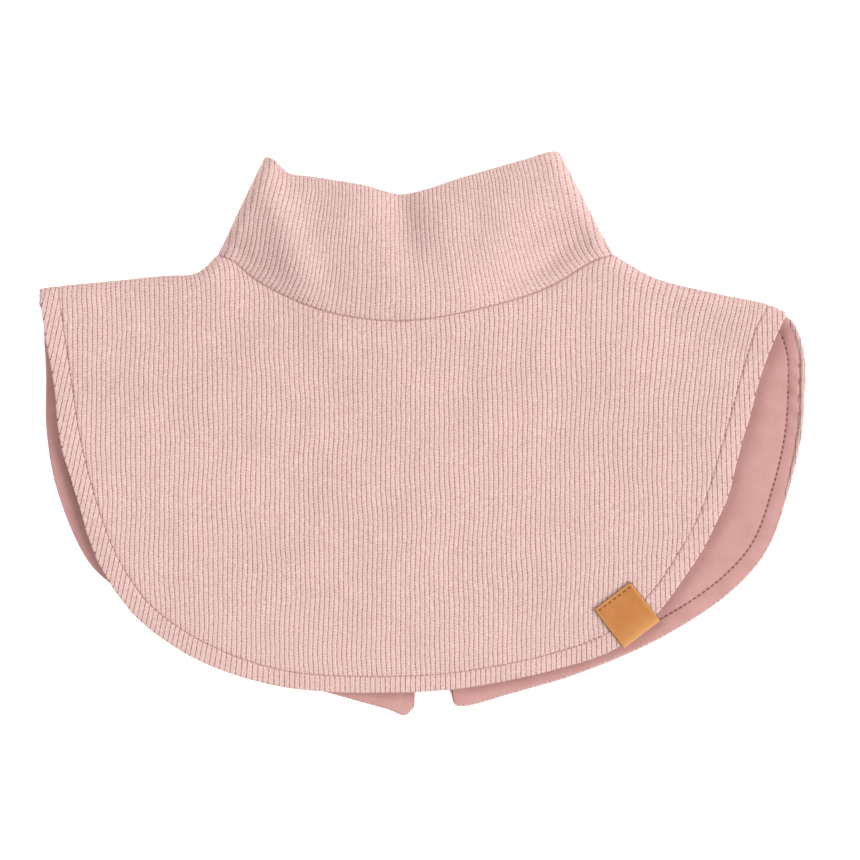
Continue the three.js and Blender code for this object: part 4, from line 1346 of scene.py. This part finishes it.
@dataclass
class Collar:
    """The turtleneck collar: rib knit folded double, a flattened tube whose ends lap at the back."""

    pattern: Pattern
    lie: Lie
    ribs: RibStitch = field(default_factory=RibStitch)
    wall: float = 2.6
    taper: float = 0.0022
    pitch: float = 2.5
    depth: float = 1.5
    outer_rows: int = 58
    inner_rows: int = 16
    back_rows: int = 34
    flat_size: tuple[float, float] = (0.43, 0.15)
    flat_area: float = 0.046

    def rib_path(self, u: Array, rise: Array) -> Array:
        """Where a rib of the front is at this height above the neck seam."""
        lean = 6.0 * (1 - np.exp(-rise / 8.0)) * bell(np.abs(u) - 70, 27)
        return u * (1 - self.taper * rise) + self.pattern.top_shift * rise / 60 - np.sign(u) * lean

    def count(self, along: Array) -> Array:
        """The rib coordinate at a distance along the seam, in the knit's usual pitch."""
        return along / self.pitch * self.ribs.pitch

    def front_plane(self) -> tuple[Array, Array, Array]:
        """Runs the front's ribs from the neck seam to the top edge or the side folds.

        Returns:
            The points in the plane, their rib coordinates, and their heights above the seam.
        """
        neck = self.pattern.front_neck
        reach = neck.reach - np.interp(0.0, neck.line[:, 0], neck.reach)
        along = self.ribs.columns(reach[0], reach[-1], self.pitch)
        u = np.interp(along, reach, neck.line[:, 0])
        foot = neck.level(u)
        sides = self.pattern.collar_side
        low, high = np.zeros(len(u)), np.full(len(u), 95.0)
        for _ in range(34):
            rise = (low + high) / 2
            x, y = self.rib_path(u, rise), foot + rise
            left = np.interp(y, sides[Side.LEFT].line[:, 1], sides[Side.LEFT].line[:, 0])
            right = np.interp(y, sides[Side.RIGHT].line[:, 1], sides[Side.RIGHT].line[:, 0])
            inside = (y < self.pattern.top_edge.level(x)) & (x > left) & (x < right)
            inside |= y < 0
            low, high = np.where(inside, rise, low), np.where(inside, high, rise)
        s = np.linspace(0, 1, self.outer_rows)[:, None]
        share = np.where(s < 0.5, 2**0.6 * s**1.6, 1 - 2**0.6 * (1 - s) ** 1.6)
        rise = share * low
        stray = self.ribs.wander(u, rise) * smooth(rise / 6) * smooth((low - rise) / 6)
        plane = np.stack([self.rib_path(u, rise) + stray, foot + rise], axis=-1)
        return plane, np.broadcast_to(self.count(along), rise.shape), rise

    def back_plane(self, side: Side) -> tuple[Array, Array, Array]:
        """Runs the back's ribs from its neck seam to the top edge.

        Args:
            side: the side that this half comes from.

        Returns:
            The points in the plane, their rib coordinates, and their heights above the seam.
        """
        start, end = side.value * self.pattern.neck_half, self.pattern.lap_end(side)
        u = self.ribs.columns(min(start, end), max(start, end), self.pitch)
        share = (u - start) / (end - start)
        low, high = self.pattern.back_neck(side, share), self.pattern.back_top(side, share)
        s = np.linspace(0, 1, self.back_rows)
        up = ((1 - np.cos(np.pi * s)) / 2 * 0.5 + s * 0.5)[:, None]
        plane = low[None] + (high - low)[None] * up[..., None]
        return plane, np.broadcast_to(self.count(u), plane.shape[:2]), up * (high - low)[None, :, 1]

    def outward(self, side: Side) -> Array:
        """The direction away from the collar at its side fold."""
        way = unit(np.subtract(*self.pattern.collar_side[side].line[[-1, 0]]))
        return np.array([-way[1], way[0], 0.0]) * -side.value

    def layers(
        self,
        middle: Array,
        way: int,
        u: Array,
        rise: Array,
        folded: Array,
        seam: float,
        fold: Side | None = None,
    ) -> Block:
        """Wraps the double knit round its top edge.

        Args:
            middle: the middle of the cloth, from the neck seam up.
            way: 1 or -1, which turns normals to the outside.
            u: rib coordinates.
            rise: heights above the seam.
            folded: for each column, whether it ends on a side fold.
            seam: depth of the neck seam.
            fold: the side whose fold the first or last column lies on, if any.

        Returns:
            One grid: up the outside, over the top and down the inside.
        """
        normals = grid_normals(middle, way)
        normals[:, 0], normals[:, -1] = normals[:, 1], normals[:, -2]
        for column in np.flatnonzero(folded):
            normals[-1, column] = self.outward(Side.LEFT if middle[-1, column, 0] < 0 else Side.RIGHT)
        if fold:
            normals[:, 0 if fold is Side.LEFT else -1] = self.outward(fold)
        relief = self.ribs.relief(u / self.ribs.pitch) * self.depth
        dip = seam * bell(rise, 0.7) - 0.15 * bell(rise - 2.8, 1.8)
        half = self.wall / 2
        outside = middle + normals * (half + relief - dip)[..., None]
        up = unit(middle[-1] - middle[-2])
        up -= (up * normals[-1]).sum(-1, keepdims=True) * normals[-1]
        up = unit(up)
        rim = []
        for turn in np.linspace(0, np.pi, 9)[1:-1]:
            swell = np.where(folded, 0.0, (half + relief[-1] * 0.8) * math.sin(turn))
            out = (half + relief[-1] * 0.6) * math.cos(turn)
            rim.append(middle[-1] + normals[-1] * out[..., None] + up * swell[..., None])
        pick = np.round(np.linspace(len(middle) - 1, 0, self.inner_rows)).astype(int)
        inside = middle[pick] - normals[pick] * (half + relief[pick])[..., None]
        points = np.concatenate([outside, np.array(rim), inside])
        grow = lambda a: np.concatenate([a, np.repeat(a[-1:], len(rim), axis=0), a[pick]])
        marks = {"seam": grow(rise), "hem": np.full(points.shape[:2], 99.0)}
        return Block(points, grow(u), grow(rise), marks, flip=way > 0)

    def build(self) -> bpy.types.Object:
        """Makes the collar.

        Returns:
            The collar, front and both halves of the back.
        """
        plane, u, rise = self.front_plane()
        foot, head = plane[0, :, 1], self.pattern.top_edge.level(plane[..., 0])
        tall = np.clip((plane[..., 1] - foot) / np.maximum(head - foot, 1e-6), 0, 1)
        middle = lay(plane, self.lie.upper(plane, self.lie.arch(tall)))
        sides = [self.pattern.collar_side[side].near(plane[-1])[0] for side in Side]
        folded = (np.min(sides, axis=0) < 0.05) & (plane[-1, :, 1] < self.pattern.rise - 0.5)
        blocks = [self.layers(middle, -1, u, rise, folded, 0.4)]
        for side in Side:
            plane, u, rise = self.back_plane(side)
            tall = rise / np.maximum(rise[-1], 1e-6)
            lapped = self.lie.step(plane[..., 0], self.pattern.lap_ends[0], self.lie.collar_lift)
            raised = lapped if side is Side.RIGHT else 0.0
            middle = lay(plane, self.lie.lower(plane, self.lie.arch(tall), raised))
            blocks.append(self.layers(middle, 1, u, rise, np.zeros(plane.shape[1], bool), 0.5, side))
        return cloth_object("collar_knit", blocks)

    def dress(self, wardrobe: Wardrobe) -> list[bpy.types.Object]:
        """Builds and finishes the collar.

        Args:
            wardrobe: the materials.

        Returns:
            Its pieces.
        """
        collar = dress(self.build(), wardrobe.knit, ["collar"])
        return [collar]


@dataclass
class Label:
    """The blank leather label, folded round the front hem and stitched through."""

    pattern: Pattern
    lie: Lie
    width: float = 22.6
    reach: float = 21.8
    along: float = 0.7125
    turn: float = 4.8
    stand: float = 2.2
    leather: float = 1.1
    stitch_in: float = 1.9

    def place(self) -> tuple[Array, Array, Array]:
        """Finds the label on the hem.

        Returns:
            Its foot on the hem, the direction along the hem and the one inwards.
        """
        foot = self.pattern.front_hem.at(self.along)
        way = unit(self.pattern.front_hem.at(self.along + 0.002) - foot)
        c, s = math.cos(-math.radians(self.turn)), math.sin(-math.radians(self.turn))
        across = np.array([way[0] * c - way[1] * s, way[0] * s + way[1] * c])
        return foot, across, np.array([-across[1], across[0]])

    def surface(self, p: Array) -> tuple[Array, Array]:
        """The cloth's middle and normal under the label."""
        raise_to = lambda q: lay(q, self.lie.upper(q))
        here = raise_to(p)
        dx, dy = raise_to(p + np.array([0.5, 0.0])) - here, raise_to(p + np.array([0.0, 0.5])) - here
        return here, unit(np.cross(dx, dy))

    def build(self) -> tuple[bpy.types.Object, bpy.types.Object]:
        """Makes the label and its stitches.

        Returns:
            The label and the row of stitches.
        """
        foot, across, inward = self.place()
        shares = np.linspace(-0.5, 0.5, 23)
        starts = foot + across * (shares * self.width)[:, None]
        down = np.linspace(1, 0, 22, endpoint=False)[:, None, None]
        leaf = starts[None] + inward * self.reach * down
        here, normal = self.surface(leaf)
        upper, lower = here + normal * self.stand, (here - normal * self.stand)[::-1]
        start, start_normal = self.surface(starts)
        out = np.array([-inward[0], -inward[1], 0.0])
        turns = np.linspace(0, np.pi, 15)[:, None, None]
        bend = start + start_normal * self.stand * np.cos(turns) + out * self.stand * np.sin(turns)
        grid = np.concatenate([upper, bend, lower])
        normals = grid_normals(grid, 1)
        half = np.full(grid.shape[:2], self.leather / 2)
        blocks = shell(grid, normals, half, -half, bulge=0.12)
        rows, columns = grid.shape[:2]
        sideways = (0.5 - np.abs(shares)) * self.width
        lengthways = np.minimum(np.arange(rows), np.arange(rows)[::-1]) * self.reach / 22
        edge = np.minimum(sideways[None], lengthways[:, None])
        from_fold = np.abs(np.arange(rows) - (rows - 1) / 2)[:, None] * np.ones(columns)
        for block in blocks[:2]:
            block.marks = {"edge": edge, "worn": 0.7 * bell(from_fold, 9.0)}
        blocks[2].marks = {"edge": np.zeros(blocks[2].points.shape[:2]), "worn": np.zeros(blocks[2].points.shape[:2])}
        label = cloth_object("leather_label_strap", blocks, weld=0.01)
        count = 7
        spaced = np.linspace(-0.5, 0.5, count + 2)[1:-1] * (self.width + 1.5)
        places = foot + inward * (self.reach - self.stitch_in) + across * spaced[:, None]
        here, normal = self.surface(places)
        ahead = np.tile(np.append(across, 0.0), (count, 1))
        raised = here + normal * (self.stand + self.leather / 2 + 0.02)
        thread = sewn_line("label_stitches", raised, ahead, normal, 2.0, 0.5)
        return label, thread

    def dress(self, wardrobe: Wardrobe) -> list[bpy.types.Object]:
        """Builds and finishes the label.

        Args:
            wardrobe: the materials.

        Returns:
            Its pieces.
        """
        label, thread = self.build()
        dress(label, wardrobe.leather, ["leather_label"])
        dress(thread, wardrobe.label_thread, [])
        return [label, thread]


@dataclass
class Closure:
    """One plain hook-and-loop pad between the collar's lapped ends."""

    corner: float = 3.0
    stitch_in: float = 1.4

    def build(self) -> bpy.types.Object:
        """Makes the pad in the space of its CAD solid.

        Returns:
            The pad.
        """
        low, high = (np.array(v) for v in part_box("back_closure"))
        size, middle = high - low, (high + low) / 2
        bpy.ops.object.select_all(action="DESELECT")
        bpy.ops.mesh.primitive_cube_add(size=1, location=middle.tolist(), scale=size.tolist())
        pad = bpy.context.active_object
        pad.name = pad.data.name = "back_closure_tape"
        bpy.ops.object.transform_apply(location=True, rotation=True, scale=True)
        bpy.ops.object.mode_set(mode="EDIT")
        bpy.ops.mesh.select_all(action="DESELECT")
        bpy.ops.object.mode_set(mode="OBJECT")
        for edge in pad.data.edges:
            a, b = (pad.data.vertices[k].co for k in edge.vertices)
            edge.select = bool(abs(a.z - b.z) > size[2] / 2)
        bpy.ops.object.mode_set(mode="EDIT")
        bpy.ops.mesh.bevel(offset=self.corner * MM, segments=5)
        bpy.ops.mesh.select_all(action="SELECT")
        bpy.ops.mesh.bevel(offset=0.15 * MM, segments=2)
        bpy.ops.object.mode_set(mode="OBJECT")
        bpy.ops.object.shade_smooth_by_angle(angle=math.radians(35))
        return pad

    def dress(self, wardrobe: Wardrobe) -> list[bpy.types.Object]:
        """Builds and finishes the pad.

        Args:
            wardrobe: the materials.

        Returns:
            Its pieces.
        """
        return [dress(self.build(), wardrobe.tape, ["back_closure"])]


@dataclass
class Studio:
    """A white floor, soft light from the upper right and a camera straight above. Lengths in metres."""

    floor_size: float = 12.0
    camera_height: float = 1.6
    view_width: float = 0.43
    view_middle: tuple[float, float] = (0.00325, 0.00225)
    sensor: float = 36.0
    world: float = 0.58
    key_power: float = 3.05
    fill_power: float = 1.2
    air_colour: str = "FFF0EE"

    def lamp(self, name: str, place: tuple[float, float, float], spread: float, power: float) -> None:
        """Adds a soft light that shines evenly from one direction.

        Args:
            name: the light's name.
            place: the direction that it comes from.
            spread: how wide it looks, in degrees.
            power: its strength.
        """
        light = bpy.data.lights.new(name, "SUN")
        light.angle, light.energy = math.radians(spread), power
        lamp = bpy.data.objects.new(name, light)
        lamp.location = place
        lamp.rotation_euler = Vector([-c for c in place]).to_track_quat("-Z", "Y").to_euler()
        bpy.context.collection.objects.link(lamp)

    def build(self) -> None:
        """Sets up floor, light and camera."""
        bpy.ops.object.select_all(action="DESELECT")
        bpy.ops.mesh.primitive_plane_add(size=self.floor_size, location=(0, 0, 0))
        floor = bpy.context.active_object
        floor.name = floor.data.name = "studio_floor"
        floor.data.materials.append(LitTable("matt_white_acrylic").material())
        world = bpy.data.worlds.new("studio_air")
        world.use_nodes = True
        world.node_tree.nodes["Background"].inputs[0].default_value = linear(self.air_colour)
        world.node_tree.nodes["Background"].inputs[1].default_value = self.world
        bpy.context.scene.world = world
        self.lamp("key_light", (1.5, -0.3, 1.35), 36.0, self.key_power)
        self.lamp("fill_light", (-1.0, 0.9, 1.4), 34.0, self.fill_power)
        data = bpy.data.cameras.new("overhead_camera")
        data.sensor_width = self.sensor
        data.lens = self.sensor * self.camera_height / self.view_width
        camera = bpy.data.objects.new("overhead_camera", data)
        camera.location = (*self.view_middle, self.camera_height)
        bpy.context.collection.objects.link(camera)
        bpy.context.scene.camera = camera
        bpy.context.scene.view_settings.view_transform = "Standard"


def front_lining(pattern: Pattern, lie: Lie) -> Lining:
    """Lays out the front lining.

    Args:
        pattern: the outlines.
        lie: the heights.

    Returns:
        The lining, ready to be built.
    """
    s = (1 - np.cos(np.pi * np.linspace(0, 1, 37))) / 2
    neck = pattern.front_neck.at((1 - np.cos(np.pi * np.linspace(0, 1, 61))) / 2)
    top = np.vstack([pattern.shoulder[Side.LEFT].at(1 - s), neck[1:-1], pattern.shoulder[Side.RIGHT].at(s)])
    across = length_shares(top)
    even = np.linspace(0, 1, 72)
    down = (1 - np.cos(np.pi * even)) / 2 * 0.75 + even * 0.25
    hem = pattern.front_hem
    bottom = hem.at(0.2 + (1 - 0.41) * across)
    grid = patch(top, bottom, hem.at(0.2 * down), hem.at(1 - 0.21 * down), across, down)
    return Lining(
        name="front_lining_jersey",
        node_name="front_lining",
        points=lay(grid, lie.upper(grid)),
        way=1,
        hem=hem,
        rests_on="back_lining_right_jersey",
        flat_size=(0.375, 0.225),
        flat_area=0.0605,
    )


def main() -> None:
    """Builds the garment piece by piece, then the studio."""
    logging.basicConfig(level=logging.INFO, format="%(name)s: %(message)s")
    pattern = Pattern()
    lie = Lie(pattern)
    wardrobe = Wardrobe()
    Studio().build()
    for part in (
        Collar(pattern, lie),
        FrontPanel(pattern, lie),
        front_lining(pattern, lie),
        BackPanel(pattern, lie, Side.LEFT, curl=0.3, rim=0.5),
        BackPanel(pattern, lie, Side.RIGHT, curl=0.3),
        Label(pattern, lie),
        Closure(),
    ):
        made = part.dress(wardrobe)
        log.info("%s: %s", type(part).__name__, ", ".join(piece.name for piece in made))


if __name__ == "__main__":
    main()
